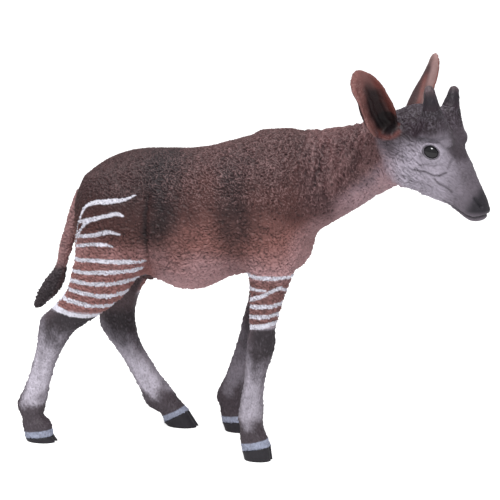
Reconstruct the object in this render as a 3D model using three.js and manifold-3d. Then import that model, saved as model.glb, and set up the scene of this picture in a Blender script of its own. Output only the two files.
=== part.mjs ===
// A toy okapi figure, moulded in vinyl, walking with its head turned a little to its right.
// Millimetres, +X towards the head, +Y to the animal's left, +Z up.
// Each limb, the trunk, the neck and the head is a loft through stations. A station is the two
// ends of a section in side view, its place across the body, its half width and its taper.
import * as THREE from "three";
import { mergeVertices } from "three/addons/utils/BufferGeometryUtils.js";
import Module from "manifold-3d";

const wasm = await Module();
wasm.setup();

// Driving sizes.
const GAP = 0.3;
const ORIGIN = [0.35, 2.65, 0.7];
const GROUND = -0.7;
const HEAD_PIVOT = [29, -2, 70];
const HEAD_YAW = -13;
const EYE = { x: 14.5, y: 5.6, z: 0.55, long: 1.7, high: 1.35, deep: 1.3, slant: 22, turn: 14 };
// Where a horn starts inside the skull, its two tips, and its radii from the root up.
const HORN = {
  base: [14.6, 4.4, 4.2],
  right: [13.9, 6.3, 14.7],
  left: [14.1, 6.3, 13.4],
  radii: [3.1, 2.45, 1.8, 1.35, 1.0],
};
const EAR_FORWARD = 35;
const EAR_WALL = 1.1;
// Centre of the opening x, y, z, half width, depth of the cup.
const EAR = [
  [5.2, 4.4, 3.0, 1.8, 2.0],
  [5.7, 7.2, 4.6, 2.4, 3.4],
  [5.7, 9.9, 7.0, 3.4, 4.2],
  [5.2, 12.8, 10.0, 4.1, 4.0],
  [4.6, 15.6, 13.0, 4.0, 3.1],
  [4.0, 17.9, 15.6, 3.0, 2.1],
  [3.6, 19.2, 17.3, 1.8, 1.4],
  [3.4, 19.9, 18.3, 0.7, 0.9],
];
const TRUNK_SIDES = 24;
const LIMB_SIDES = 14;

// Stations: top x, z, bottom x, z, y, half width, taper (above 0, wider at the top).
const TRUNK = [
  [-41.4, 55.6, -41.2, 48.6, 0, 3.4, 0],
  [-40.6, 59.2, -40.8, 42.6, 0, 7.2, 0],
  [-37.9, 62.4, -38.9, 38.4, 0, 9.8, 0.05],
  [-33.9, 64.8, -34.8, 37.0, 0, 11.6, 0.05],
  [-29.0, 66.3, -29.3, 36.6, 0, 12.4, 0],
  [-23.2, 66.9, -23.5, 37.3, 0, 12.8, -0.05],
  [-17.5, 67.1, -17.7, 35.7, 0, 13.5, -0.1],
  [-11.8, 67.8, -11.9, 36.1, 0, 13.9, -0.12],
  [-6.1, 69.4, -6.2, 38.9, 0, 13.5, -0.12],
  [-0.5, 71.3, -0.5, 40.3, 0, 12.7, -0.12],
  [3.6, 72.1, 4.0, 40.4, 0, 12.0, -0.1],
  [7.0, 71.9, 8.0, 41.2, 0, 10.9, -0.06],
  [9.4, 68.6, 9.9, 43.4, 0, 9.2, 0],
  [10.9, 63.5, 11.2, 46.6, 0, 6.6, 0],
  [11.7, 58.5, 11.8, 50.7, 0, 3.2, 0],
];
const NECK = [
  [1.0, 71.3, 6.0, 42.5, 0, 9.4, -0.25],
  [5.1, 72.2, 10.4, 46.0, 0, 9.0, -0.25],
  [8.8, 72.3, 12.6, 48.8, 0, 8.2, -0.22],
  [12.6, 72.4, 15.6, 51.3, -0.4, 7.2, -0.18],
  [16.4, 72.9, 20.2, 54.1, -0.8, 6.4, -0.14],
  [20.1, 73.5, 24.1, 56.6, -1.2, 5.8, -0.1],
  [23.4, 74.4, 28.1, 59.3, -1.6, 5.4, -0.05],
  [26.7, 75.4, 31.8, 61.6, -2.0, 5.3, 0],
  [30.5, 76.8, 34.4, 62.6, -2.5, 5.2, 0],
  [35.0, 77.5, 37.0, 63.0, -3.4, 4.8, 0],
];
// The head's stations are in its own frame, before it is turned.
const HEAD = [
  [0.6, 5.8, 2.6, -6.4, 0, 4.6, 0],
  [3.4, 7.6, 4.9, -7.5, 0, 5.3, 0],
  [6.0, 9.0, 7.0, -8.4, 0, 5.8, 0.02],
  [9.0, 9.8, 9.6, -9.3, 0, 6.1, 0.06],
  [12.4, 8.9, 12.0, -10.2, 0, 6.1, 0.12],
  [15.4, 6.6, 14.4, -10.9, 0, 5.7, 0.2],
  [17.7, 3.8, 16.2, -11.4, 0, 5.0, 0.2],
  [19.4, 0.6, 17.8, -12.2, 0, 4.2, 0.12],
  [20.9, -2.4, 19.2, -13.1, 0, 3.6, 0.05],
  [22.4, -5.4, 20.6, -14.0, 0, 3.2, 0.0],
  [23.8, -8.0, 21.9, -14.5, 0, 3.05, -0.03],
  [24.8, -10.0, 23.2, -14.4, 0, 2.8, -0.05],
  [25.2, -11.2, 24.3, -14.0, 0, 2.1, 0],
  [25.3, -12.3, 25.0, -13.2, 0, 0.9, 0],
];
const MOUTH = [
  [15.6, -10.5],
  [17.6, -11.3],
  [19.5, -12.3],
  [21.2, -13.2],
  [23.0, -13.6],
  [24.4, -13.3],
  [26.2, -12.7],
];
// Limb and tail stations: back x, z, front x, z, y, half width, taper.
const HIND_RIGHT = [
  [-38.6, 60.4, -25.5, 60.4, -6.0, 3.6, 0],
  [-39.9, 56.0, -23.4, 56.0, -6.9, 5.4, 0],
  [-40.0, 50.4, -22.5, 49.8, -7.6, 6.3, 0],
  [-40.1, 45.4, -22.7, 44.4, -8.1, 6.2, 0],
  [-40.6, 41.6, -23.6, 40.6, -8.5, 5.8, 0],
  [-41.4, 38.2, -25.9, 38.2, -8.8, 5.1, 0],
  [-42.3, 35.3, -28.2, 35.6, -9.0, 4.4, 0],
  [-44.2, 32.5, -31.6, 32.2, -9.2, 3.7, 0],
  [-46.6, 30.2, -35.6, 29.2, -9.4, 3.2, 0],
  [-48.8, 28.1, -38.8, 27.0, -9.6, 2.9, 0],
  [-49.3, 25.6, -41.2, 25.2, -9.7, 2.7, 0],
  [-49.8, 22.1, -43.3, 22.0, -9.8, 2.45, 0],
  [-50.6, 18.9, -45.2, 18.6, -9.9, 2.2, 0],
  [-51.6, 15.1, -46.5, 14.7, -10.1, 2.15, 0],
  [-52.9, 11.7, -47.3, 11.5, -10.3, 2.3, 0],
  [-54.4, 8.5, -47.9, 8.7, -10.5, 2.6, 0],
  [-54.4, 6.6, -48.3, 6.6, -10.6, 2.55, 0],
  [-53.5, 4.9, -48.6, 5.2, -10.7, 2.3, 0],
  [-53.4, 3.6, -47.6, 4.4, -10.7, 2.45, 0],
  [-53.2, 2.5, -46.8, 3.3, -10.7, 2.7, 0],
];
const HIND_LEFT = [
  [-38.6, 60.4, -25.0, 60.4, 6.0, 3.6, 0],
  [-40.0, 56.0, -22.8, 56.0, 6.9, 5.4, 0],
  [-40.6, 50.4, -21.8, 49.8, 7.6, 6.3, 0],
  [-40.8, 45.0, -22.2, 44.0, 8.2, 6.2, 0],
  [-40.9, 40.6, -25.0, 39.8, 8.6, 5.5, 0],
  [-40.8, 36.4, -28.8, 36.6, 9.0, 4.7, 0],
  [-40.6, 31.8, -31.6, 32.2, 9.3, 3.8, 0],
  [-40.9, 28.3, -32.8, 28.9, 9.5, 3.3, 0],
  [-41.8, 25.4, -33.4, 26.0, 9.7, 3.0, 0],
  [-41.6, 22.6, -33.2, 23.0, 9.8, 2.8, 0],
  [-40.1, 20.2, -32.6, 20.4, 9.9, 2.6, 0],
  [-38.5, 18.1, -31.7, 18.1, 10.0, 2.45, 0],
  [-36.8, 15.7, -30.5, 15.9, 10.2, 2.3, 0],
  [-35.1, 12.9, -29.0, 13.6, 10.4, 2.2, 0],
  [-33.5, 9.9, -27.4, 11.2, 10.6, 2.2, 0],
  [-32.1, 7.2, -25.8, 9.1, 10.8, 2.35, 0],
  [-31.2, 4.6, -24.2, 7.3, 10.9, 2.6, 0],
  [-29.6, 3.2, -23.4, 5.9, 11.0, 2.5, 0],
  [-28.0, 2.5, -22.6, 5.0, 11.0, 2.4, 0],
  [-26.8, 1.8, -21.7, 4.0, 11.0, 2.65, 0],
];
const FORE_RIGHT = [
  [-0.4, 51.0, 11.6, 52.0, -6.2, 4.6, 0],
  [-0.8, 47.0, 12.0, 47.6, -7.1, 4.6, 0],
  [-0.4, 43.6, 11.4, 44.0, -8.0, 4.2, 0],
  [0.7, 41.0, 10.2, 40.8, -8.8, 3.7, 0],
  [1.2, 38.3, 9.2, 38.1, -9.3, 3.3, 0],
  [1.4, 35.3, 8.3, 35.2, -9.7, 3.0, 0],
  [1.3, 32.2, 7.5, 32.2, -9.9, 2.75, 0],
  [1.3, 29.1, 6.9, 29.2, -10.0, 2.6, 0],
  [0.8, 26.3, 6.9, 26.4, -10.1, 2.8, 0],
  [0.6, 23.6, 6.4, 23.5, -10.2, 2.7, 0],
  [0.3, 20.4, 5.4, 20.5, -10.3, 2.3, 0],
  [0.1, 17.2, 4.6, 17.1, -10.4, 2.1, 0],
  [-0.5, 13.6, 4.2, 13.6, -10.5, 2.1, 0],
  [-1.0, 10.9, 4.3, 11.1, -10.6, 2.3, 0],
  [-1.2, 8.5, 4.3, 8.8, -10.7, 2.5, 0],
  [-0.8, 6.3, 4.3, 6.6, -10.7, 2.4, 0],
  [-0.8, 4.6, 4.9, 5.0, -10.7, 2.55, 0],
  [-0.6, 3.2, 5.6, 3.8, -10.7, 2.75, 0],
];
const FORE_LEFT = [
  [-4.4, 51.0, 8.4, 52.0, 6.2, 4.6, 0],
  [-4.4, 47.0, 8.4, 47.6, 7.1, 4.6, 0],
  [-4.2, 43.0, 7.2, 43.6, 8.0, 4.2, 0],
  [-4.4, 38.6, 4.6, 38.9, 8.8, 3.6, 0],
  [-4.6, 33.8, 1.8, 34.2, 9.4, 3.0, 0],
  [-5.4, 30.2, -0.1, 30.6, 9.8, 2.7, 0],
  [-6.4, 26.9, -0.8, 27.0, 10.0, 2.8, 0],
  [-7.2, 23.5, -1.8, 23.7, 10.2, 2.6, 0],
  [-8.2, 20.1, -3.1, 20.1, 10.4, 2.3, 0],
  [-9.3, 17.1, -4.4, 17.0, 10.6, 2.1, 0],
  [-10.6, 13.6, -5.4, 13.6, 10.8, 2.2, 0],
  [-12.1, 10.2, -6.5, 10.2, 10.9, 2.4, 0],
  [-13.3, 7.2, -7.0, 7.4, 11.0, 2.6, 0],
  [-12.5, 5.2, -7.1, 5.5, 11.0, 2.4, 0],
  [-12.3, 3.8, -6.9, 4.3, 11.0, 2.45, 0],
  [-12.1, 2.6, -6.1, 3.3, 11.0, 2.7, 0],
];
// Toe and heel of each sole at Z = 0, and the row of the knee or hock where the leg is parted.
const LEGS = {
  hind_right: { rows: HIND_RIGHT, side: -1, sole: [-52.3, -45.2], joint: 9, flank: -21.6 },
  hind_left: { rows: HIND_LEFT, side: 1, sole: [-25.6, -18.1], joint: 8, flank: -21.0 },
  front_right: { rows: FORE_RIGHT, side: -1, sole: [0.2, 6.9], joint: 8, flank: 14.5 },
  front_left: { rows: FORE_LEFT, side: 1, sole: [-11.0, -4.4], joint: 6, flank: 14.5 },
};
const SOLE = { halfWidth: 2.8, cleft: 0.45, cleftDepth: 2.4, cleftHeight: 2.2 };
// The slanted plane that parts a leg from the trunk: a point on it (y, z) and its rise in degrees.
const HIND_PART = { point: [1.2, 35.4], rise: 64, back: -50 };
const FORE_PART = { point: [1.2, 38.4], rise: 24, back: -9.5 };
// Tail stations: back x, z, front x, z, y, half width, taper. The tuft starts at TUFT_ROW.
const TAIL = [
  [-40.6, 59.4, -37.6, 53.0, 0, 2.4, 0],
  [-43.3, 56.3, -40.8, 52.2, 0, 2.1, 0],
  [-45.2, 51.8, -42.4, 50.4, 0, 1.8, 0],
  [-46.3, 48.2, -43.4, 47.2, -0.1, 1.6, 0],
  [-47.4, 44.7, -44.5, 43.9, -0.4, 1.5, 0],
  [-47.9, 41.8, -45.4, 41.2, -0.7, 1.35, 0],
  [-48.3, 39.5, -46.0, 38.9, -0.9, 1.3, 0],
  [-49.2, 37.5, -46.3, 37.0, -1.0, 1.5, 0],
  [-50.9, 35.6, -46.8, 35.0, -1.0, 1.9, 0],
  [-52.2, 33.6, -47.9, 33.0, -1.0, 2.0, 0],
  [-53.2, 31.6, -49.5, 31.1, -1.0, 1.7, 0],
  [-53.8, 29.9, -51.2, 29.8, -1.0, 1.25, 0],
  [-54.3, 28.5, -52.7, 28.3, -1.0, 0.6, 0],
];
const TUFT_ROW = 6.4;
const TUFT_LOCKS = [
  // Root row, place round the tuft in degrees, length, width at the root.
  [8.2, 0, 3.4, 1.3],
  [8.8, 75, 4.6, 1.4],
  [8.8, 150, 4.4, 1.3],
  [9.0, 225, 4.8, 1.4],
  [8.6, 300, 4.4, 1.3],
];
const SHEATH = { at: [-24.3, 0, 38.1], radii: [2.4, 1.5, 1.7] };
const BROW = { at: [16.1, 3.8, 2.6], radii: [3.1, 2.15, 2.1] };

const COLOURS = {
  brown: new THREE.Color(0.27, 0.14, 0.12),
  grey: new THREE.Color(0.42, 0.38, 0.4),
  dark: new THREE.Color(0.1, 0.09, 0.1),
  hoof: new THREE.Color(0.08, 0.08, 0.09),
  eye: new THREE.Color(0.02, 0.02, 0.025),
};
const vinyl = (colour, roughness = 0.5) =>
  new THREE.MeshStandardMaterial({ color: COLOURS[colour], roughness, metalness: 0 });

const rad = THREE.MathUtils.degToRad;

function solid(geometry) {
  const bare = geometry.clone();
  bare.deleteAttribute("normal");
  bare.deleteAttribute("uv");
  const merged = mergeVertices(bare, 1e-4);
  return new wasm.Manifold(
    new wasm.Mesh({
      numProp: 3,
      vertProperties: merged.attributes.position.array,
      triVerts: new Uint32Array(merged.index.array),
    }),
  );
}

// A closed skin over rings of points, with a fan over each end unless the ends are given.
function skin(rings, ends) {
  const sides = rings[0].length;
  const points = rings.flat();
  const faces = [];
  for (let r = 0; r + 1 < rings.length; r++)
    for (let i = 0; i < sides; i++) {
      const j = (i + 1) % sides;
      const [a, b, c, d] = [r * sides + i, r * sides + j, (r + 1) * sides + j, (r + 1) * sides + i];
      faces.push([a, b, c], [a, c, d]);
    }
  const fan = (first, turn) => {
    const centre = new THREE.Vector3();
    for (let i = 0; i < sides; i++) centre.addScaledVector(points[first + i], 1 / sides);
    points.push(centre);
    return Array.from({ length: sides }, (_, i) => {
      const [a, b] = [first + i, first + ((i + 1) % sides)];
      return turn ? [points.length - 1, b, a] : [points.length - 1, a, b];
    });
  };
  const close = ends || fan;
  faces.push(...close(0, true), ...close((rings.length - 1) * sides, false));
  const geometry = new THREE.BufferGeometry().setFromPoints(points);
  geometry.setIndex(faces.flat());
  const made = solid(geometry);
  if (made.volume() > 0) return made;
  geometry.setIndex(faces.map(([a, b, c]) => [a, c, b]).flat());
  return solid(geometry);
}

// The station at a fractional row, on a smooth curve through all rows.
function station(rows, u) {
  const i = Math.min(Math.max(Math.floor(u), 0), rows.length - 2);
  const t = u - i;
  const row = (k) => rows[Math.min(Math.max(k, 0), rows.length - 1)];
  return rows[i].map((_, k) => {
    const [p, q, r, s] = [row(i - 1)[k], row(i)[k], row(i + 1)[k], row(i + 2)[k]];
    return (
      q + 0.5 * t * (r - p + t * (2 * p - 5 * q + 4 * r - s + t * (3 * (q - r) + s - p)))
    );
  });
}

// The section at a station. Corners above 0 makes it squarer, and grow moves it outwards.
function section([ax, az, bx, bz, y, half, taper], sides, grow = 0, corners = 0.08) {
  const length = Math.hypot(ax - bx, az - bz) / 2;
  const reach = (length + grow) / length;
  return Array.from({ length: sides }, (_, i) => {
    const angle = (2 * Math.PI * i) / sides;
    const [c, s] = [Math.cos(angle), Math.sin(angle)].map(
      (v) => Math.sign(v) * Math.abs(v) ** (1 - corners),
    );
    return new THREE.Vector3(
      (ax + bx) / 2 + ((ax - bx) / 2) * c * reach,
      y + (half + grow) * s * (1 + taper * c),
      (az + bz) / 2 + ((az - bz) / 2) * c * reach,
    );
  });
}

// A loft from one row to another, with a section at both and at each of the steps between.
function loft(rows, { sides = LIMB_SIDES, from = 0, to = rows.length - 1, steps = 1, grow = 0 } = {}) {
  const places = [from];
  for (let k = Math.floor(from * steps) + 1; k / steps < to; k++)
    if (k / steps - from > 0.25 / steps && to - k / steps > 0.25 / steps) places.push(k / steps);
  places.push(to);
  return skin(places.map((u) => section(station(rows, u), sides, grow)));
}

const middle = ([ax, az, bx, bz, y]) => new THREE.Vector3((ax + bx) / 2, y, (az + bz) / 2);

// The row that lies one gap further along than u.
function past(rows, u) {
  const ends = [station(rows, u - 0.2), station(rows, u + 0.2)].map(middle);
  return u + (0.4 * GAP) / ends[0].distanceTo(ends[1]);
}

function ball(at, radii, grow = 0) {
  const [a, b, c] = radii.map((r) => r + grow);
  return solid(new THREE.SphereGeometry(1, 14, 9).scale(a, b, c).translate(...at));
}

// The space of one leg: its own side of the middle line, under a plane that rises outwards.
function legSpace({ point: [y, z], rise, back }, front, side, grow) {
  const [length, size] = [front - back + 2 * grow, 90];
  const across = (front + back) / 2;
  const under = solid(
    new THREE.BoxGeometry(length, size, size)
      .translate(across, 0, -size / 2 + grow)
      .rotateX(rad(-rise))
      .translate(0, -y, z),
  );
  const beside = solid(
    new THREE.BoxGeometry(length, size, 2 * size).translate(across, -size / 2 - GAP / 2 + grow, 0),
  );
  const space = under.intersect(beside);
  return side < 0 ? space : space.mirror([0, 1, 0]);
}

const biggest = (made) =>
  made.decompose().reduce((best, one) => (one.volume() > best.volume() ? one : best));

const root = new THREE.Group();
function node(name, made, material, parent = root) {
  const mesh = biggest(made).getMesh();
  const geometry = new THREE.BufferGeometry().setAttribute(
    "position",
    new THREE.BufferAttribute(new Float32Array(mesh.vertProperties), 3),
  );
  geometry.setIndex(new THREE.BufferAttribute(new Uint32Array(mesh.triVerts), 1));
  const shown = new THREE.Mesh(geometry, material);
  shown.name = name;
  parent.add(shown);
  return shown;
}

// Turns a solid of the head's own frame into the body's frame.
const headMatrix = new THREE.Matrix4()
  .makeTranslation(...HEAD_PIVOT)
  .multiply(new THREE.Matrix4().makeRotationZ(rad(HEAD_YAW)));
const onBody = (made) => made.transform(headMatrix.elements);

// A hoof: from one gap under the leg's last section down to the flat sole, cleft at the toe.
function hoof({ rows, sole }) {
  const last = rows[rows.length - 1];
  const flat = [sole[0], GROUND, sole[1], GROUND, last[4], SOLE.halfWidth, 0];
  const first = GAP / middle(last).distanceTo(middle(flat));
  const wall = [first, 0.4, 0.7, 1].map((t) => last.map((v, k) => v + (flat[k] - v) * t));
  const body = skin(wall.map((row) => section(row, LIMB_SIDES)));
  const { cleft, cleftDepth, cleftHeight } = SOLE;
  const slot = new THREE.BoxGeometry(cleftDepth * 2, cleft, cleftHeight * 2);
  return body.subtract(solid(slot.translate(sole[1], last[4], GROUND)));
}

// Trunk and limbs.
const trunk = loft(TRUNK, { sides: TRUNK_SIDES });
const neck = loft(NECK, { sides: TRUNK_SIDES, to: NECK.length - 1 });
const upperLegs = Object.values(LEGS).map(({ rows, joint }) => loft(rows, { to: joint }));
const body = wasm.Manifold.union([trunk, neck, ball(SHEATH.at, SHEATH.radii), ...upperLegs]);

// The neck is parted from the trunk and from the head by planes across it.
function across([x, z], lean) {
  const size = 120;
  return (shift) =>
    solid(
      new THREE.BoxGeometry(size, size, size)
        .translate(size / 2 + shift, 0, 0)
        .rotateY(rad(lean))
        .translate(x, 0, z),
    );
}
const NECK_BASE = across([12.6, 61.0], -14);
const NECK_TOP = across([29.4, 69.0], -18);

let torso = body.subtract(NECK_BASE(0));
const neckOnly = body.intersect(NECK_BASE(GAP)).subtract(NECK_TOP(0));
for (const [name, leg] of Object.entries(LEGS)) {
  const hind = name.startsWith("hind");
  const part = hind ? HIND_PART : FORE_PART;
  const upper = body
    .subtract(NECK_BASE(0))
    .intersect(legSpace(part, leg.flank, leg.side, 0));
  torso = torso.subtract(legSpace(part, leg.flank, leg.side, GAP));
  const { rows, joint } = leg;
  node(`${name}_${hind ? "thigh" : "forearm"}`, upper, vinyl("brown"));
  node(`${name}_shank`, loft(rows, { from: past(rows, joint) }), vinyl("grey"));
  node(`${name}_hoof`, hoof(leg), vinyl("hoof", 0.4));
}
node("torso", torso, vinyl("brown"));
node("neck", neckOnly, vinyl("brown"));

// Tail, trimmed where it leaves the rump.
const grownTrunk = loft(TRUNK, { sides: TRUNK_SIDES, grow: GAP });
node("tail", loft(TAIL, { sides: 10, to: TUFT_ROW }).subtract(grownTrunk), vinyl("brown"));
node("tail_tuft", loft(TAIL, { sides: 10, from: past(TAIL, TUFT_ROW) }), vinyl("dark"));

// Head.
function hornSolid(side) {
  const ends = [HORN.base, side < 0 ? HORN.right : HORN.left];
  const [base, tip] = ends.map(([x, y, z]) => new THREE.Vector3(x, y * side, z));
  const axis = tip.clone().sub(base);
  const turn = new THREE.Quaternion().setFromUnitVectors(
    new THREE.Vector3(0, 1, 0),
    axis.clone().normalize(),
  );
  const length = axis.length();
  const steps = HORN.radii.length - 1;
  const profile = [
    new THREE.Vector2(0, 0),
    ...HORN.radii.map((r, i) => new THREE.Vector2(r, (length - 0.9) * (i / steps))),
    new THREE.Vector2(0.6, length - 0.25),
    new THREE.Vector2(0, length),
  ];
  const cone = new THREE.LatheGeometry(profile, 12).applyQuaternion(turn);
  return solid(cone.translate(base.x, base.y, base.z));
}

// The cupped leaf of an ear: crescent sections from the root to the tip.
function earSolid(side) {
  const centres = EAR.map(([x, y, z]) => new THREE.Vector3(x, y * side, z));
  const along = centres.at(-1).clone().sub(centres[1]).normalize();
  const ahead = new THREE.Vector3(1, 0, 0).addScaledVector(along, -along.x).normalize();
  const down = new THREE.Vector3(0, side, 0).addScaledVector(along, -along.y * side).normalize();
  const open = ahead
    .multiplyScalar(Math.cos(rad(EAR_FORWARD)))
    .addScaledVector(down, Math.sin(rad(EAR_FORWARD)));
  const wide = along.clone().cross(open).normalize();
  const steps = 8;
  const rings = EAR.map(([, , , half, cup], row) => {
    const arc = (inset) =>
      Array.from({ length: steps + 1 }, (_, i) => {
        const angle = Math.PI * (i / steps - 0.5);
        return centres[row]
          .clone()
          .addScaledVector(wide, (half - inset * 0.5) * Math.sin(angle))
          .addScaledVector(open, -(cup - inset) * Math.cos(angle));
      });
    return [...arc(0), ...arc(Math.min(EAR_WALL, cup * 0.7)).reverse()];
  });
  // An end of a crescent is closed in strips, since a fan would leave it.
  const strips = (first, turn) =>
    Array.from({ length: steps }, (_, i) => {
      const [a, b, c, d] = [i, i + 1, 2 * steps - i, 2 * steps + 1 - i].map((k) => first + k);
      return turn ? [[a, c, b], [a, d, c]] : [[a, b, c], [a, c, d]];
    }).flat();
  return skin(rings, strips);
}

// A shape of the eye's own size and slant, in its place.
function atEye(geometry, side, grow, out) {
  const { x, y, z, long, high, deep, slant, turn } = EYE;
  return solid(
    geometry
      .scale(long + grow, deep + grow, high + grow)
      .rotateY(rad(slant))
      .rotateZ(rad(-turn * side))
      .translate(x, (y + out) * side, z),
  );
}
const eyeSolid = (side, grow = 0) => atEye(new THREE.SphereGeometry(1, 16, 10), side, grow, 0);
const lidRing = (side) =>
  atEye(new THREE.TorusGeometry(1, 0.26, 6, 18).rotateX(Math.PI / 2), side, 0.15, 0.3);

function mouthGroove() {
  const half = 0.18;
  const outline = new THREE.Shape([
    ...MOUTH.map(([x, z]) => new THREE.Vector2(x, z + half)),
    ...MOUTH.map(([x, z]) => new THREE.Vector2(x, z - half)).reverse(),
  ]);
  const plate = new THREE.ExtrudeGeometry(outline, { depth: 12, bevelEnabled: false })
    .translate(0, 0, -6)
    .rotateX(Math.PI / 2);
  return solid(plate).subtract(loft(HEAD, { sides: TRUNK_SIDES, grow: -0.45 }));
}

const sides = [-1, 1];
const brows = (grow) =>
  sides.map((side) => ball([BROW.at[0], BROW.at[1] * side, BROW.at[2]], BROW.radii, grow));
const skull = loft(HEAD, { sides: TRUNK_SIDES });
let head = wasm.Manifold.union([skull, ...brows(0), ...sides.map(lidRing)]);
head = head.subtract(mouthGroove());
for (const side of sides) {
  head = head
    .subtract(eyeSolid(side, GAP))
    .subtract(ball([24.5, 2.35 * side, -10.3], [0.9, 0.7, 0.6]));
}
node("head", onBody(head).add(neck).intersect(NECK_TOP(GAP)), vinyl("grey"));

// Eyes, horns and ears stand one gap clear of the skull.
const clear = onBody(
  wasm.Manifold.union([loft(HEAD, { sides: TRUNK_SIDES, grow: GAP }), ...brows(GAP)]),
).add(loft(NECK, { sides: TRUNK_SIDES, grow: GAP }));
for (const side of sides) {
  const name = side < 0 ? "right" : "left";
  node(`eye_${name}`, onBody(eyeSolid(side)), vinyl("eye", 0.1));
  node(`horn_${name}`, onBody(hornSolid(side)).subtract(clear), vinyl("dark"));
  node(`ear_${name}`, onBody(earSolid(side)).subtract(clear), vinyl("brown"));
}

root.position.set(...ORIGIN);
export default root;
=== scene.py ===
import math
from collections import namedtuple

import bpy
import numpy as np
import openvdb
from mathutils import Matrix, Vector


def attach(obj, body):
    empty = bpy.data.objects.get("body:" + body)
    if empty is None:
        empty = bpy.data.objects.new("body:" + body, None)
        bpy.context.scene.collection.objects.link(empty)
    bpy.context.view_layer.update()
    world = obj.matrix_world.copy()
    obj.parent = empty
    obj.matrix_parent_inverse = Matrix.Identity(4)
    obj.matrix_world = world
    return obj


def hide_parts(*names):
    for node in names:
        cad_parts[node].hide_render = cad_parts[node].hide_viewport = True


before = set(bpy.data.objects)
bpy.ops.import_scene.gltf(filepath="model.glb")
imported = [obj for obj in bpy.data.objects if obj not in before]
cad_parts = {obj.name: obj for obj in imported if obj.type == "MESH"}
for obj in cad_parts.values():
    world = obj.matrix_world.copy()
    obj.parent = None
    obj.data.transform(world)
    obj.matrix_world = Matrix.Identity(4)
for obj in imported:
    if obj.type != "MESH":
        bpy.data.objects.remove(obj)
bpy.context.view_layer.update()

METRES = 0.001
# The figure's own origin in the shared frame, and its ground in its own.
ORIGIN = np.array([0.35, 2.65, 0.7])
GROUND = -0.7
SIDES = {"right": -1, "left": 1}
# The head's own origin, and how far the head turns about it.
HEAD_PIVOT = np.array([29.0, -2.0, 70.0])
HEAD_YAW = math.radians(-13)
YAW_COS, YAW_SIN = math.cos(HEAD_YAW), math.sin(HEAD_YAW)
HEAD_TURN = np.array([[YAW_COS, -YAW_SIN, 0], [YAW_SIN, YAW_COS, 0], [0, 0, 1]])
# The volume's cell, and how many cells out the distances go.
VOXEL = 0.34
BAND = 9

# Stations: top x, z, bottom x, z, y, half width, taper (above 0, wider at the top).
TRUNK = [
    (-41.2, 55.6, -41.0, 48.6, 0, 3.4, 0),
    (-40.4, 59.2, -40.6, 42.6, 0, 7.2, 0),
    (-37.9, 62.4, -38.9, 38.4, 0, 9.8, 0.05),
    (-33.9, 64.8, -34.8, 38.4, 0, 11.6, 0.05),
    (-29.0, 66.3, -29.3, 38.8, 0, 12.4, 0),
    (-23.2, 66.9, -23.7, 37.9, 0, 12.8, -0.05),
    (-17.5, 67.1, -17.7, 35.7, 0, 13.5, -0.1),
    (-11.8, 67.8, -11.9, 36.1, 0, 13.9, -0.12),
    (-6.1, 69.4, -6.2, 38.9, 0, 13.5, -0.12),
    (-0.5, 71.0, -0.5, 40.3, 0, 12.7, -0.12),
    (3.6, 71.6, 4.0, 40.4, 0, 12.0, -0.1),
    (7.0, 71.4, 8.0, 41.2, 0, 10.9, -0.06),
    (9.4, 68.6, 9.9, 43.4, 0, 9.2, 0),
    (10.9, 63.5, 11.2, 46.6, 0, 6.6, 0),
    (11.7, 58.5, 11.8, 50.7, 0, 3.2, 0),
]
NECK = [
    (1.0, 71.3, 6.0, 42.5, 0, 9.4, -0.25),
    (5.1, 71.8, 10.4, 46.0, 0, 9.0, -0.25),
    (8.8, 72.3, 12.6, 48.8, 0, 8.2, -0.22),
    (12.6, 72.4, 15.6, 51.3, -0.4, 7.2, -0.18),
    (16.4, 72.9, 20.2, 54.1, -0.8, 6.4, -0.14),
    (20.1, 73.5, 24.1, 56.6, -1.2, 5.8, -0.1),
    (23.4, 74.4, 28.1, 59.3, -1.6, 5.4, -0.05),
    (26.7, 75.4, 31.8, 61.6, -2.0, 5.3, 0),
    (30.5, 76.8, 34.4, 62.6, -2.5, 5.2, 0),
    (35.0, 77.5, 37.0, 63.0, -3.4, 4.8, 0),
]
# The head's stations are in its own frame, before it is turned.
HEAD = [
    (0.6, 5.8, 2.6, -6.4, 0, 4.6, 0),
    (3.4, 7.6, 4.9, -6.6, 0, 5.3, 0),
    (6.0, 9.0, 7.0, -7.8, 0, 5.8, 0.02),
    (9.0, 9.8, 9.6, -9.3, 0, 6.1, 0.06),
    (12.4, 8.9, 12.0, -10.2, 0, 6.1, 0.12),
    (15.0, 6.5, 14.3, -10.9, 0, 5.7, 0.2),
    (17.2, 3.6, 16.1, -11.4, 0, 5.0, 0.2),
    (19.1, 0.5, 17.8, -12.2, 0, 4.2, 0.12),
    (20.9, -2.4, 19.2, -13.1, 0, 3.6, 0.05),
    (22.4, -5.4, 20.6, -14.0, 0, 3.2, 0.0),
    (23.8, -8.0, 21.9, -14.5, 0, 3.05, -0.03),
    (24.8, -10.0, 23.2, -14.4, 0, 2.8, -0.05),
    (25.2, -11.2, 24.3, -14.0, 0, 2.1, 0),
    (25.3, -12.3, 25.0, -13.2, 0, 0.9, 0),
]
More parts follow.
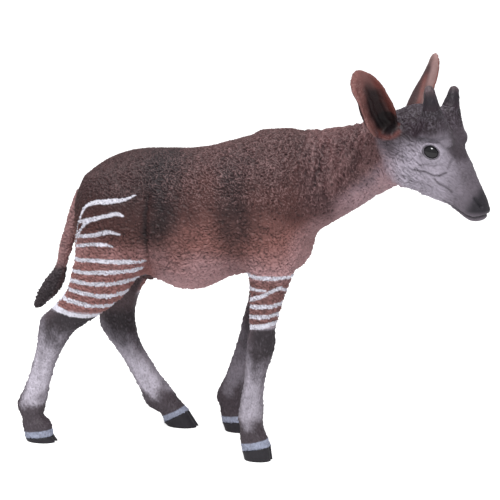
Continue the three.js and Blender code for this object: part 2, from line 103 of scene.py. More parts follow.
# Limb and tail stations: back x, z, front x, z, y, half width.
HIND_RIGHT = [
    (-38.6, 60.4, -25.5, 60.4, -6.0, 3.6),
    (-39.9, 56.0, -23.4, 56.0, -6.9, 5.4),
    (-40.0, 50.4, -23.4, 49.8, -7.6, 6.3),
    (-40.1, 45.4, -23.8, 44.4, -8.1, 6.2),
    (-40.6, 41.6, -24.8, 40.6, -8.5, 5.8),
    (-41.4, 38.2, -26.7, 38.2, -8.8, 5.1),
    (-42.3, 35.3, -28.2, 35.6, -9.0, 4.4),
    (-44.2, 32.5, -31.6, 32.2, -9.2, 3.7),
    (-46.6, 30.2, -35.6, 29.2, -9.4, 3.2),
    (-48.8, 28.1, -38.8, 27.0, -9.6, 2.9),
    (-49.3, 25.6, -41.2, 25.2, -9.7, 2.7),
    (-49.8, 22.1, -43.3, 22.0, -9.8, 2.45),
    (-50.6, 18.9, -45.2, 18.6, -9.9, 2.2),
    (-51.6, 15.1, -46.5, 14.7, -10.1, 2.15),
    (-52.9, 11.7, -47.3, 11.5, -10.3, 2.3),
    (-54.4, 8.5, -47.9, 8.7, -10.5, 2.6),
    (-54.4, 6.6, -48.3, 6.6, -10.6, 2.55),
    (-53.5, 4.9, -48.6, 5.2, -10.7, 2.3),
    (-53.4, 3.6, -47.6, 4.4, -10.7, 2.45),
    (-53.2, 2.5, -46.8, 3.3, -10.7, 2.7),
]
HIND_LEFT = [
    (-38.6, 60.4, -25.0, 60.4, 6.0, 3.6),
    (-40.0, 56.0, -22.8, 56.0, 6.9, 5.4),
    (-40.6, 50.4, -21.8, 49.8, 7.6, 6.3),
    (-40.8, 45.0, -22.2, 44.0, 8.2, 6.2),
    (-40.9, 40.6, -25.0, 39.8, 8.6, 5.5),
    (-40.8, 36.4, -28.8, 36.6, 9.0, 4.7),
    (-40.6, 31.8, -31.6, 32.2, 9.3, 3.8),
    (-40.9, 28.3, -32.8, 28.9, 9.5, 3.3),
    (-41.8, 25.4, -33.4, 26.0, 9.7, 3.0),
    (-41.6, 22.6, -33.2, 23.0, 9.8, 2.8),
    (-40.1, 20.2, -32.6, 20.4, 9.9, 2.6),
    (-38.5, 18.1, -31.7, 18.1, 10.0, 2.45),
    (-36.8, 15.7, -30.5, 15.9, 10.2, 2.3),
    (-35.1, 12.9, -29.0, 13.6, 10.4, 2.2),
    (-33.5, 9.9, -27.4, 11.2, 10.6, 2.2),
    (-32.1, 7.2, -25.8, 9.1, 10.8, 2.35),
    (-31.2, 4.6, -24.2, 7.3, 10.9, 2.6),
    (-29.6, 3.2, -23.4, 5.9, 11.0, 2.5),
    (-28.0, 2.5, -22.6, 5.0, 11.0, 2.4),
    (-26.8, 1.8, -21.7, 4.0, 11.0, 2.65),
]
FORE_RIGHT = [
    (-0.4, 51.0, 11.6, 52.0, -6.2, 4.6),
    (-0.8, 47.0, 12.0, 47.6, -7.1, 4.6),
    (-0.4, 43.6, 11.4, 44.0, -8.0, 4.2),
    (0.7, 41.0, 10.2, 40.8, -8.8, 3.7),
    (1.2, 38.3, 9.2, 38.1, -9.3, 3.3),
    (1.4, 35.3, 8.3, 35.2, -9.7, 3.0),
    (1.3, 32.2, 7.5, 32.2, -9.9, 2.75),
    (1.3, 29.1, 6.9, 29.2, -10.0, 2.6),
    (0.8, 26.3, 6.9, 26.4, -10.1, 2.8),
    (0.6, 23.6, 6.4, 23.5, -10.2, 2.7),
    (0.3, 20.4, 5.4, 20.5, -10.3, 2.3),
    (0.1, 17.2, 4.6, 17.1, -10.4, 2.1),
    (-0.5, 13.6, 4.2, 13.6, -10.5, 2.1),
    (-1.0, 10.9, 4.3, 11.1, -10.6, 2.3),
    (-1.2, 8.5, 4.3, 8.8, -10.7, 2.5),
    (-0.8, 6.3, 4.3, 6.6, -10.7, 2.4),
    (-0.8, 4.6, 4.9, 5.0, -10.7, 2.55),
    (-0.6, 3.2, 5.6, 3.8, -10.7, 2.75),
]
FORE_LEFT = [
    (-4.4, 51.0, 8.4, 52.0, 6.2, 4.6),
    (-4.4, 47.0, 8.4, 47.6, 7.1, 4.6),
    (-4.2, 43.0, 7.2, 43.6, 8.0, 4.2),
    (-4.4, 38.6, 4.6, 38.9, 8.8, 3.6),
    (-4.6, 33.8, 1.8, 34.2, 9.4, 3.0),
    (-5.4, 30.2, -0.1, 30.6, 9.8, 2.7),
    (-6.4, 26.9, -0.8, 27.0, 10.0, 2.8),
    (-7.2, 23.5, -1.8, 23.7, 10.2, 2.6),
    (-8.2, 20.1, -3.1, 20.1, 10.4, 2.3),
    (-9.3, 17.1, -4.4, 17.0, 10.6, 2.1),
    (-10.6, 13.6, -5.4, 13.6, 10.8, 2.2),
    (-12.1, 10.2, -6.5, 10.2, 10.9, 2.4),
    (-13.3, 7.2, -7.0, 7.4, 11.0, 2.6),
    (-12.5, 5.2, -7.1, 5.5, 11.0, 2.4),
    (-12.3, 3.8, -6.9, 4.3, 11.0, 2.45),
    (-12.1, 2.6, -6.1, 3.3, 11.0, 2.7),
]
TAIL = [
    (-40.6, 59.4, -36.0, 53.0, 0, 2.4),
    (-43.3, 56.3, -40.8, 52.2, 0, 2.1),
    (-45.2, 51.8, -42.4, 50.4, 0, 1.8),
    (-46.3, 48.2, -43.4, 47.2, -0.1, 1.6),
    (-47.4, 44.7, -44.5, 43.9, -0.4, 1.5),
    (-47.9, 41.8, -45.4, 41.2, -0.7, 1.35),
    (-48.3, 39.5, -46.0, 38.9, -0.9, 1.3),
    (-49.2, 37.5, -46.3, 37.0, -1.0, 1.5),
    (-50.9, 35.6, -46.8, 35.0, -1.0, 1.9),
    (-52.2, 33.6, -47.9, 33.0, -1.0, 2.0),
    (-53.2, 31.6, -49.5, 31.1, -1.0, 1.7),
    (-53.8, 29.9, -51.2, 29.8, -1.0, 1.25),
    (-54.3, 28.5, -52.7, 28.3, -1.0, 0.6),
]
# Centre of an ear's opening x, y, z in the head's frame, half width, depth of the cup.
EAR = [
    (5.2, 4.4, 3.8, 1.8, 2.0),
    (5.5, 7.2, 5.4, 3.0, 3.3),
    (5.6, 9.8, 7.5, 3.65, 4.0),
    (5.5, 12.7, 10.1, 3.65, 3.9),
    (5.2, 15.5, 13.1, 3.3, 3.1),
    (4.3, 17.9, 15.6, 2.8, 2.1),
    (3.6, 19.2, 17.3, 1.8, 1.4),
    (3.4, 19.9, 18.3, 0.7, 0.9),
]
# How far the ear opens ahead from down, and how thick its wall is.
EAR_FORWARD = math.radians(35)
EAR_WALL = 1.1
# How far the lower ear lies to its rear edge, and the heights it goes over.
EAR_LAG = 0.9
EAR_LAG_FROM = (6.0, 15.0)
EYE = {"x": 14.5, "y": 5.6, "z": 0.55, "long": 1.85, "high": 1.5, "deep": 1.35, "slant": 22, "turn": 14}
# Top of each hoof, back x, z and front x, z, then heel and toe of the sole, and the width's middle.
HOOVES = {
    "hind_right": ((-52.7, -0.15, -46.1, 0.55), (-52.3, -45.2), -10.7),
    "hind_left": ((-26.4, -0.15, -20.5, 2.9), (-25.6, -18.1), 11.0),
    "front_right": ((-0.3, 1.1, 6.1, 2.4), (0.2, 6.5), -10.7),
    "front_left": ((-11.9, 1.1, -5.5, 1.7), (-11.2, -4.6), 11.0),
}
HOOF_HALF = 2.75
LEGS = {
    "hind_right": HIND_RIGHT,
    "hind_left": HIND_LEFT,
    "front_right": FORE_RIGHT,
    "front_left": FORE_LEFT,
}
# Height of the coronet band on each leg.
BAND_HIGH = {"hind_right": 1.7, "hind_left": 1.7, "front_right": 1.9, "front_left": 1.7}
# Rows where a leg's dark joint starts, starts to fade and has faded, and where its pale shank
# starts to darken and is dark.
MARKS = {
    "hind_right": (7.75, 9.3, 11.8, 14.1, 16.2),
    "hind_left": (6.3, 9.0, 12.0, 14.8, 17.0),
    "front_right": (6.8, 8.8, 10.8, 13.4, 15.6),
    "front_left": (5.0, 6.6, 9.0, 10.4, 12.2),
}
# A stripe's row on a leg: rows past the first number are counted from the second at the third.
STRIPE_ROWS = {
    "hind_right": (3, 3, 1),
    "hind_left": (3, 3, 0.72),
    "front_right": (2.9, 2.9, 1),
    "front_left": (2.9, 2.4, 0.68),
}
# Stripes as (row, place from -1 at the back to 1 at the front, half width) on a limb's outer side.
HIND_STRIPES = [
    [
        (0.6, 0.93, 0.1), (0.8, 0.55, 0.36), (0.9, 0.1, 0.5),
        (0.97, -0.28, 0.44), (1.2, -0.58, 0.3), (1.7, -0.76, 0.12),
    ],
    [(1.42, 0.53, 0.14), (1.37, 0.33, 0.42), (1.5, -0.05, 0.38), (1.65, -0.41, 0.5), (1.8, -0.8, 0.3)],
    [(1.72, -0.45, 0.3), (1.95, -0.65, 0.34), (2.4, -0.86, 0.2)],
    [(2.12, 0.44, 0.2), (2.06, 0.16, 0.46), (2.22, -0.25, 0.42), (2.33, -0.55, 0.4), (2.45, -0.92, 0.36)],
    [(2.66, 0.26, 0.12), (2.58, 0.0, 0.4), (2.72, -0.5, 0.36), (2.95, -0.95, 0.3)],
    [(3.35, 1.1, 0.34), (3.38, 0.5, 0.5), (3.46, -0.15, 0.44), (3.7, -0.95, 0.4)],
    [(3.85, 1.05, 0.4), (4.15, 0.21, 0.46), (4.5, -0.95, 0.4)],
    [(4.9, 1.1, 0.4), (5.2, 0.29, 0.5), (5.15, -0.95, 0.42)],
    [(6.0, 1.1, 0.4), (6.25, 0.44, 0.5), (5.85, -0.95, 0.44)],
    [(6.95, 1.05, 0.44), (7.0, 0.36, 0.46), (6.6, -0.95, 0.44)],
    [(7.8, 1.0, 0.5), (7.9, 0.26, 0.5), (7.5, -1.05, 0.62)],
    [
        (1.9, -0.86, 0.1), (3.4, -0.99, 0.16), (4.5, -1.02, 0.2),
        (5.4, -1.03, 0.3), (6.5, -1.05, 0.5), (7.5, -1.08, 0.7),
    ],
]
FORE_STRIPES = [
    [(2.9, -1.0, 0.42), (2.95, -0.02, 0.46), (2.85, 1.1, 0.4)],
    [(4.0, -1.0, 0.4), (3.95, 0.04, 0.25)],
    [(4.85, -1.0, 0.46), (4.4, -0.1, 0.42), (3.7, 0.78, 0.34)],
    [(3.8, 0.8, 0.3), (4.15, 1.28, 0.34)],
    [(5.3, -1.0, 0.42), (5.15, 0.38, 0.46), (4.95, 1.13, 0.4)],
    [(6.05, -1.0, 0.42), (5.95, 0.2, 0.44), (5.8, 1.15, 0.4)],
    [(6.8, -1.0, 0.5), (6.65, 0.2, 0.52), (6.45, 1.15, 0.44)],
    [(2.85, -1.05, 0.2), (4.75, -1.05, 0.3), (6.8, -1.05, 0.3)],
]
# Horns from root to tip in the head's frame, and their radius at shares of the length.
HORN_ROOTS = {-1: (14.3, 4.3, 4.2), 1: (13.4, 4.3, 4.2)}
HORN_TIPS = {-1: (13.9, 6.3, 14.7), 1: (14.1, 6.3, 13.4)}
HORN_SHAPE = [(0.0, 3.6), (0.2, 3.0), (0.35, 2.45), (0.5, 2.0), (0.7, 1.5), (0.88, 1.14), (1.0, 0.95)]
# Shares where a horn's skin ends and the horn starts, and how far it is drawn in under the skin.
HORN_SKIN = 0.52
HORN_FROM = 0.25
HORN_TUCK = 0.35
# Lines on the head in its frame: x, z, or x, y, z. A fold also has a width and a depth.
MOUTH = [
    (15.6, -10.5), (17.6, -11.3), (19.5, -12.3), (21.2, -13.2), (23.0, -13.6), (24.4, -13.3), (26.2, -12.7)
]
FOLDS = [
    ([(10.7, -3.7), (12.7, -3.9), (14.6, -4.6), (16.0, -4.7), (17.4, -4.0)], 0.26, 0.24),
    ([(11.6, -2.6), (13.2, -2.3), (15.0, -2.5), (16.6, -2.3)], 0.22, 0.12),
    ([(14.9, -5.5), (15.7, -6.5), (17.4, -7.2), (18.4, -8.1)], 0.3, 0.22),
    ([(18.4, -1.2), (17.9, -3.0)], 0.3, 0.16),
    ([(12.0, 3.2), (14.2, 3.4), (16.2, 2.7), (17.8, 1.2)], 0.35, 0.15),
    ([(9.6, -6.0), (12.0, -6.6), (14.0, -7.4)], 0.35, 0.1),
]
NOSTRIL = [(23.5, 2.7, -9.2), (24.3, 2.5, -10.1), (24.7, 1.9, -11.0)]
BROW_LINE = [(15.2, 0, 7.0), (18.0, 0, 2.2)]
# Lines on the body's side, x and z, and the x of each neck fold at its top and its bottom.
CREASE = [(-22.2, 58.0), (-22.6, 50.0), (-22.4, 43.0), (-24.3, 38.5)]
SHOULDER_HOLLOW = [(-1.5, 67.0), (-1.0, 55.0), (-2.5, 43.5)]
NECK_FOLDS = [(11.0, 12.6), (14.5, 17.2), (17.6, 21.2), (20.3, 24.6), (23.2, 27.6)]
# The low nub behind the belly, where it is darkest, and the breast.
NUB = (-25.9, -1.2, 38.4)
NUB_DARK = (-26.2, -1.2, 38.2)
BREAST = (7.4, 0, 46.2)
# The hind legs' skin, and their stripes, lie behind these x.
BEHIND = -16
STRIPES_BEHIND = -15
# Table rows to each station of a leg.
LEG_STEPS = 8
# Depth of the hair, its slope on the cheeks, and how the tail's tuft is drawn out.
HAIR_DEPTH = 0.3
HAIR_TILT = math.radians(-32)
TUFT_HAIR = np.array([[2.2, 0, 1.2], [0, 2.6, 0], [0.35, 0, -0.5]])
# Soft dark clouds on the side: a line, a width and a share.
DARK_CLOUDS = [
    ([(-20.0, 66.0), (-18.5, 54.0), (-21.3, 43.0)], 5.6, 0.92),
    ([(-2.5, 64.0), (-1.5, 58.0), (-0.5, 47.0), (-3.0, 42.0)], 3.8, 0.72),
    ([(13.0, 69.0), (16.5, 58.0)], 2.6, 0.4),
    ([(22.0, 71.0), (26.0, 62.0)], 2.6, 0.36),
]
# How far each shank goes to grey; on the far front leg this grey is painted shade.
SHANK_GREY_AND_SHADE = {"hind_right": 0, "hind_left": 0, "front_right": 0.35, "front_left": 0.85}
EYE_BLACK = (0.006, 0.006, 0.008)
# The materials' mottling, and their bump's strength and its depth in metres.
BLOTCH_SCALE = 900
BUMP_STRENGTH = 0.6
BUMP_DEPTH = 0.0001
# The photo's view, and the lamps as name, place in metres, power and size.
TARGET = (np.array([-3.0, 3.6, 44.0]) + ORIGIN) * METRES
VIEW_AZIMUTH = math.radians(17)
VIEW_ELEVATION = math.radians(11)
VIEW_DISTANCE = 0.5
LAMPS = [("key", (0.12, -0.42, 0.58), 2.3, 0.16), ("top", (-0.2, -0.05, 0.75), 1.9, 0.2)]
WHITE = (1, 1, 1, 1)
ROOM_LIGHT = 0.47
ROOM_SEEN = 1.05
FLOOR_GLOW = 0.75

# What is known at each point of the skin about a leg, the ears and the eyes
OnLeg = namedtuple("OnLeg", "row across share outer")
OnEar = namedtuple("OnEar", "share facing across along depth pit lip")
AtEye = namedtuple("AtEye", "hole lid lash around")


def tone(rgb):
    """A screen colour as linear light."""
    v = np.array(rgb) / 255
    return np.where(v <= 0.04045, v / 12.92, ((v + 0.055) / 1.055) ** 2.4)


PAINT = {
    "back": (78, 53, 53),
    "mid": (86, 54, 51),
    "flank": (152, 104, 98),
    "belly": (204, 164, 168),
    "dark": (36, 27, 30),
    "thigh": (152, 104, 99),
    "fore": (130, 90, 86),
    "neck": (91, 60, 61),
    "throat": (188, 166, 179),
    "head": (178, 170, 184),
    "crown": (52, 42, 49),
    "inner": (92, 76, 80),
    "nose": (106, 98, 107),
    "muzzle": (40, 38, 44),
    "shank": (216, 210, 224),
    "joint": (50, 45, 50),
    "fetlock": (70, 60, 66),
    "white": (232, 232, 244),
    "band": (170, 177, 199),
    "ear": (136, 92, 88),
    "ear_back": (66, 45, 46),
    "ear_rim": (118, 66, 60),
    "ear_tip": (190, 150, 146),
    "ear_deep": (24, 17, 20),
    "tail": (164, 126, 126),
    "tuft": (66, 58, 62),
    # Painted highlight: a pale pink laid on the crests of the moulded hair and of the neck's pleats, where
    # light catches them.
    "crest_highlight": (188, 150, 150),
    "horn": (48, 43, 49),
    "horn_tip": (92, 78, 82),
    "hoof": (50, 48, 53),
}
PAINT = {name: tone(rgb) for name, rgb in PAINT.items()}


def is_hind(name):
    return name.startswith("hind")


def side_of(name):
    return SIDES[name.split("_")[1]]


# Shapes as points and faces
def curve(rows, steps):
    """Rows on a smooth curve through the given rows, steps to each gap."""
    rows = np.array(rows, float)
    last = len(rows) - 1
    u = np.linspace(0, last, last * steps + 1)
    i = np.minimum(u.astype(int), last - 1)
    t = (u - i)[:, None]
    p, q, r, s = (rows[np.clip(i + k, 0, last)] for k in (-1, 0, 1, 2))
    return q + 0.5 * t * (r - p + t * (2 * p - 5 * q + 4 * r - s + t * (3 * (q - r) + s - p)))


def rings(rows, sides=48, steps=6, corners=0.08):
    """A ring of points round each station."""
    ax, az, bx, bz, y, half, *taper = (c[:, None] for c in curve(rows, steps).T)
    angle = np.linspace(0, 2 * np.pi, sides, endpoint=False)[None]
    c, s = (np.sign(v) * np.abs(v) ** (1 - corners) for v in (np.cos(angle), np.sin(angle)))
    x = (ax + bx) / 2 + (ax - bx) / 2 * c
    z = (az + bz) / 2 + (az - bz) / 2 * c
    wide = 1 + taper[0] * c if taper else 1
    return np.stack([x, y + half * s * wide, z], axis=-1)


def skin_over(loops, fans=True):
    """Points and triangles of a closed skin over loops of points."""
    rows, sides = loops.shape[:2]
    points = loops.reshape(-1, 3)
    r, i = np.meshgrid(np.arange(rows - 1), np.arange(sides), indexing="ij")
    j = (i + 1) % sides
    a, b, c, d = r * sides + i, r * sides + j, (r + 1) * sides + j, (r + 1) * sides + i
    faces = [np.stack([a, b, c], -1).reshape(-1, 3), np.stack([a, c, d], -1).reshape(-1, 3)]
    k = np.arange(sides)
    for row, flip in ((0, True), (rows - 1, False)):
        first = row * sides
        if fans:
            points = np.vstack([points, loops[row].mean(axis=0)])
            tip = np.full(sides, len(points) - 1)
            cap = np.stack([tip, first + k, first + (k + 1) % sides], -1)
        else:
            m = np.arange(sides // 2 - 1)
            q = [first + m, first + m + 1, first + sides - 2 - m, first + sides - 1 - m]
            cap = np.vstack([np.stack([q[0], q[1], q[2]], -1), np.stack([q[0], q[2], q[3]], -1)])
        faces.append(cap[:, ::-1] if flip else cap)
    return points, np.vstack(faces)


def to_body(points):
    """From the head's own frame to the figure's."""
    return points @ HEAD_TURN.T + HEAD_PIVOT


def to_head(points):
    return (points - HEAD_PIVOT) @ HEAD_TURN


def unit(v):
    v = np.array(v, float)
    return v / np.linalg.norm(v)


def ear_axes(side):
    """Along the ear, across it, and out of its opening."""
    along = unit([EAR[-1][0] - EAR[1][0], (EAR[-1][1] - EAR[1][1]) * side, EAR[-1][2] - EAR[1][2]])
    ahead = unit(np.array([1, 0, 0]) - along * along[0])
    down = unit(np.array([0, side, 0]) - along * along[1] * side)
    opening = ahead * math.cos(EAR_FORWARD) + down * math.sin(EAR_FORWARD)
    return along, unit(np.cross(along, opening)), opening


def ear_loops(side, steps=24):
    """Loops of an open cup: along its outside, and back along its inside."""
    _, wide, opening = ear_axes(side)
    table = curve(EAR, 8)
    angle = np.pi * (np.arange(steps + 1) / steps - 0.5)
    loops = []
    for x, y, z, half, cup in table:
        wall = min(EAR_WALL, cup * 0.7)
        lag = np.interp(z, EAR_LAG_FROM, (EAR_LAG, 0.0)) * side
        arcs = []
        for inset in (0, wall):
            arcs.append(
                np.array([x, y * side, z])
                + wide * lag
                + np.outer(np.sin(angle) * (half - inset * 0.5), wide)
                - np.outer(np.cos(angle) * (cup - inset), opening)
            )
        loops.append(np.vstack([arcs[0], arcs[1][::-1]]))
    return np.array(loops)


def horn_loops(side, start, end):
    """Rings of a horn from one share of its length to another, in the head's frame. A tip is round."""
    root = np.array(HORN_ROOTS[side], float) * (1, side, 1)
    axis = np.array(HORN_TIPS[side], float) * (1, side, 1) - root
    length = np.linalg.norm(axis)
    axis /= length
    first = unit(np.cross(axis, (0, 1, 0)))
    second = np.cross(axis, first)
    share = np.linspace(start, end, 46)
    at, width = np.array(HORN_SHAPE).T
    radius = np.interp(share, at, width)
    if end == 1.0:
        radius *= np.sqrt(np.clip(1 - (np.maximum(share - 0.88, 0) / 0.121) ** 2, 0.0004, 1))
    angle = np.linspace(0, 2 * np.pi, 48, endpoint=False)
    around = np.outer(np.cos(angle), first) + np.outer(np.sin(angle), second)
    middle = root + np.outer(share * length, axis)
    return middle[:, None] + radius[:, None, None] * around[None]


# The volume: signed distances on one grid round the figure
LOW = np.array([-58.0, -21.0, -2.0])
HIGH = np.array([58.0, 21.0, 91.0])
SHAPE = tuple(int(n) for n in np.ceil((HIGH - LOW) / VOXEL))
FAR = VOXEL * BAND
field = np.full(SHAPE, FAR, np.float32)


def window(low, high):
    """The grid's slices over a box, and its first cell."""
    first = np.maximum(((np.array(low) - LOW) / VOXEL).astype(int), 0)
    last = np.minimum(((np.array(high) - LOW) / VOXEL).astype(int) + 2, SHAPE)
    return tuple(slice(a, b) for a, b in zip(first, last)), first


def distances(points, faces):
    """The signed distances of a closed skin, and where they go on the grid."""
    cells, first = window(points.min(axis=0) - FAR, points.max(axis=0) + FAR)
    local = (points - LOW) / VOXEL
    grid = openvdb.FloatGrid.createLevelSetFromPolygons(
        local.astype(np.float32), triangles=faces.astype(np.uint32), halfWidth=BAND
    )
    out = np.zeros([s.stop - s.start for s in cells], np.float32)
    grid.copyToArray(out, ijk=tuple(int(v) for v in first))
    return cells, out * VOXEL


def soft_min(a, b, k):
    """The lower of two distances, blended where they are within k."""
    h = np.maximum(k - np.abs(a - b), 0) / k
    return np.minimum(a, b) - h * h * k / 4


def add(points, faces, k):
    """Joins a closed skin to the volume."""
    cells, part = distances(points, faces)
    field[cells] = soft_min(field[cells], part, k)


def centres(cells):
    """Where the grid's cells are."""
    axes = [(np.arange(s.start, s.stop) * VOXEL + low).astype(np.float32) for s, low in zip(cells, LOW)]
    return np.meshgrid(*axes, indexing="ij")


def ball(at, radii, k, lean=0.0, turn=0.0):
    """Joins an ellipsoid given in the figure's frame, leant about Y and turned about Z."""
    at, radii = np.array(at, float), np.array(radii, float)
    cells, _ = window(at - radii.max() - FAR, at + radii.max() + FAR)
    x, y, z = (c - v for c, v in zip(centres(cells), at))
    ct, st = math.cos(turn), math.sin(turn)
    x, y = x * ct + y * st, y * ct - x * st
    cl, sl = math.cos(lean), math.sin(lean)
    x, z = x * cl - z * sl, z * cl + x * sl
    k0 = np.sqrt((x / radii[0]) ** 2 + (y / radii[1]) ** 2 + (z / radii[2]) ** 2)
    k1 = np.sqrt((x / radii[0] ** 2) ** 2 + (y / radii[1] ** 2) ** 2 + (z / radii[2] ** 2) ** 2)
    part = k0 * (k0 - 1) / np.maximum(k1, 1e-6)
    field[cells] = soft_min(field[cells], part, k)


def head_ball(at, radii, k, turn=0.0):
    """A ball given in the head's frame."""
    ball(to_body(np.array([at], float))[0], radii, k, turn=turn + HEAD_YAW)


def add_muscles(side):
    """Shoulder, hip and the top of the forearm."""
    ball((3.2, 8.2 * side, 55.0), (6.0, 4.6, 11.0), 3.0, lean=-0.25)
    ball((-31.0, 8.0 * side, 53.5), (7.5, 5.4, 8.5), 3.0)
    ball((4.5, 8.6 * side, 46.5), (4.8, 3.6, 5.0), 2.5)


def add_head_forms(side):
    """Cheek, brow, horn's root, eye's rim, ear and ear's root."""
    head_ball((7.8, 3.4 * side, -4.2), (4.2, 3.0, 3.4), 2.2)
    head_ball((15.9, 3.7 * side, 2.7), (2.6, 1.8, 1.6), 1.6)
    points, faces = skin_over(horn_loops(side, 0.0, HORN_SKIN))
    add(to_body(points), faces, 1.8)
    eye = (EYE["x"], EYE["y"] * side, EYE["z"])
    head_ball(eye, (2.6, 1.2, 2.2), 1.6, turn=math.radians(-EYE["turn"] * side))
    points, faces = skin_over(ear_loops(side), fans=False)
    add(to_body(points), faces, 1.0)
    head_ball((5.2, 5.2 * side, 2.6), (2.3, 2.2, 2.4), 2.0)


# All the flesh, each part blended into what is there
add(*skin_over(rings(TRUNK, 72)), 0.01)
for name, rows in LEGS.items():
    top, _, middle = HOOVES[name]
    down = rows + [(*top, middle, HOOF_HALF - 0.1)]
    add(*skin_over(rings(down)), 3.0 if is_hind(name) else 2.6)
add(*skin_over(rings(NECK, 64)), 3.0)
ball(NUB, (2.2, 1.5, 1.5), 1.0)
ball(BREAST, (4.5, 7.0, 4.8), 2.0)
for side in SIDES.values():
    add_muscles(side)
points, faces = skin_over(rings(HEAD, 64))
add(to_body(points), faces, 2.5)
for side in SIDES.values():
    add_head_forms(side)
add(*skin_over(rings(TAIL, 32)), 1.6)


def outer_skin():
    """Points and four-sided faces of the volume's surface."""
    grid = openvdb.FloatGrid(float(FAR))
    grid.copyFromArray(field)
    points, _, quads = grid.convertToPolygons(isovalue=0.0)
    return np.array(points, float) * VOXEL + LOW, np.array(quads)


# Meshes
def mesh_object(name, points, faces):
    """A smooth mesh in the shared frame."""
    data = bpy.data.meshes.new(name)
    data.vertices.add(len(points))
    data.vertices.foreach_set("co", ((points + ORIGIN) * METRES).astype(np.float32).ravel())
    data.loops.add(faces.size)
    data.loops.foreach_set("vertex_index", faces.astype(np.int32).ravel())
    data.polygons.add(len(faces))
    data.polygons.foreach_set("loop_start", np.arange(0, faces.size, faces.shape[1], dtype=np.int32))
    data.update(calc_edges=True)
    data.validate()
    data.shade_smooth()
    made = bpy.data.objects.new(name, data)
    bpy.context.scene.collection.objects.link(made)
    return made


def subdivided(points, faces):
    """The points, normals and faces after one smooth subdivision."""
    rough = mesh_object("rough", points, faces)
    rough.modifiers.new("fine", "SUBSURF").levels = 1
    data = rough.evaluated_get(bpy.context.evaluated_depsgraph_get()).data
    count = len(data.vertices)
    place, normal = np.empty(count * 3), np.empty(count * 3)
    data.vertices.foreach_get("co", place)
    data.vertex_normals.foreach_get("vector", normal)
    corner = np.empty(len(data.loops), int)
    data.loops.foreach_get("vertex_index", corner)
    bpy.data.objects.remove(rough)
    return place.reshape(-1, 3) * 1000 - ORIGIN, normal.reshape(-1, 3), corner.reshape(-1, 4)


def set_paint(mesh, colours):
    """Stores a colour at each point, for the material to read."""
    colours = np.column_stack([np.clip(colours, 0, 1), np.ones(len(colours))])
    mesh.color_attributes.new("paint", "FLOAT_COLOR", "POINT").data.foreach_set("color", colours.ravel())


# Noise: smooth gradients between seeded directions at whole cells
rng = np.random.default_rng(7)
TURNS = rng.permutation(256)
TURNS = np.concatenate([TURNS, TURNS]).astype(np.int32)
ARROWS = rng.normal(size=(256, 3))
ARROWS = (ARROWS / np.linalg.norm(ARROWS, axis=1)[:, None]).astype(np.float32)


def noise(p):
    """About -1 to 1, one cell to a unit."""
    p = np.asarray(p, np.float32)
    cell = np.floor(p)
    f = (p - cell).T
    cell = cell.T.astype(np.int32) & 255
    w = f * f * f * (f * (f * 6 - 15) + 10)
    total = np.zeros(len(p), np.float32)
    for i in (0, 1):
        first = TURNS[(cell[0] + i) & 255]
        wide = w[0] if i else 1 - w[0]
        for j in (0, 1):
            second = TURNS[first + ((cell[1] + j) & 255)]
            flat = wide * (w[1] if j else 1 - w[1])
            for k in (0, 1):
                arrow = ARROWS[TURNS[second + ((cell[2] + k) & 255)]]
                dot = arrow[:, 0] * (f[0] - i) + arrow[:, 1] * (f[1] - j) + arrow[:, 2] * (f[2] - k)
                total += flat * (w[2] if k else 1 - w[2]) * dot
    return total * 1.6


def ramp(v, low, high):
    """0 below low, 1 above high, smooth between."""
    t = np.clip((v - low) / (high - low), 0, 1)
    return t * t * (3 - 2 * t)


def bell(v, middle, width):
    return np.exp(-(((v - middle) / width) ** 2))


def to_line(flat, line, widths=None):
    """Distance of points from a line through the given points, less the line's own half width."""
    best = np.full(len(flat), 1e9)
    line = np.array(line, float)
    widths = np.zeros(len(line)) if widths is None else widths
    for a, b, low, high in zip(line[:-1], line[1:], widths[:-1], widths[1:]):
        t = np.clip((flat - a) @ (b - a) / max((b - a) @ (b - a), 1e-9), 0, 1)
        gap = np.linalg.norm(flat - a - t[:, None] * (b - a), axis=1) - low - t * (high - low)
        best = np.minimum(best, gap)
    return best


def groove(flat, line, width):
    """1 on a line, fading to 0 about two widths away."""
    return bell(to_line(flat, line), 0, width)


# The coat's points before its relief, in the figure's frame and in the head's
smooth, normal, faces = subdivided(*outer_skin())
x, y, z = smooth.T
inhead = to_head(smooth)
hx, hy, hz = inhead.T
flat_side = np.stack([x, z], -1)
flat_head = np.stack([hx, hz], -1)


# Where the parts of the coat are, as shares from 0 to 1
def leg_table(name):
    """Stations down a leg to its hoof, LEG_STEPS to a row."""
    top, _, middle = HOOVES[name]
    return curve(LEGS[name] + [(*top, middle, HOOF_HALF)], LEG_STEPS)


def on_leg(name):
    """Each point's row down a leg, place from its back (-1) to its front (1), share, and outer side."""
    table = leg_table(name)
    side = side_of(name)
    near = (np.abs(x - table[:, :4:2].mean()) < 30) & (z < 60) & (y * side > 1.0)
    near &= (x < BEHIND) if is_hind(name) else (x > BEHIND) & (z < 46)
    index = np.flatnonzero(near)
    flat = flat_side[index]
    back, front = table[:, 0:2], table[:, 2:4]
    centre, half = (back + front) / 2, (front - back) / 2
    best = np.full(len(index), 1e9)
    row, across = np.zeros(len(x)), np.zeros(len(x))
    for k in range(len(table)):
        length = np.linalg.norm(half[k])
        ahead = half[k] / length
        rel = flat - centre[k]
        off = np.abs(rel[:, 0] * -ahead[1] + rel[:, 1] * ahead[0]) + 0.05 * np.linalg.norm(rel, axis=1)
        closer = off < best
        best[closer] = off[closer]
        row[index[closer]] = k / LEG_STEPS
        across[index[closer]] = (rel[closer] @ ahead) / length
    share = ramp(row, 0.2, 1.2) * ramp(-np.abs(across), -1.8, -1.25)
    return OnLeg(row, across, share, ramp(side * normal[:, 1], -0.45, 0.05))


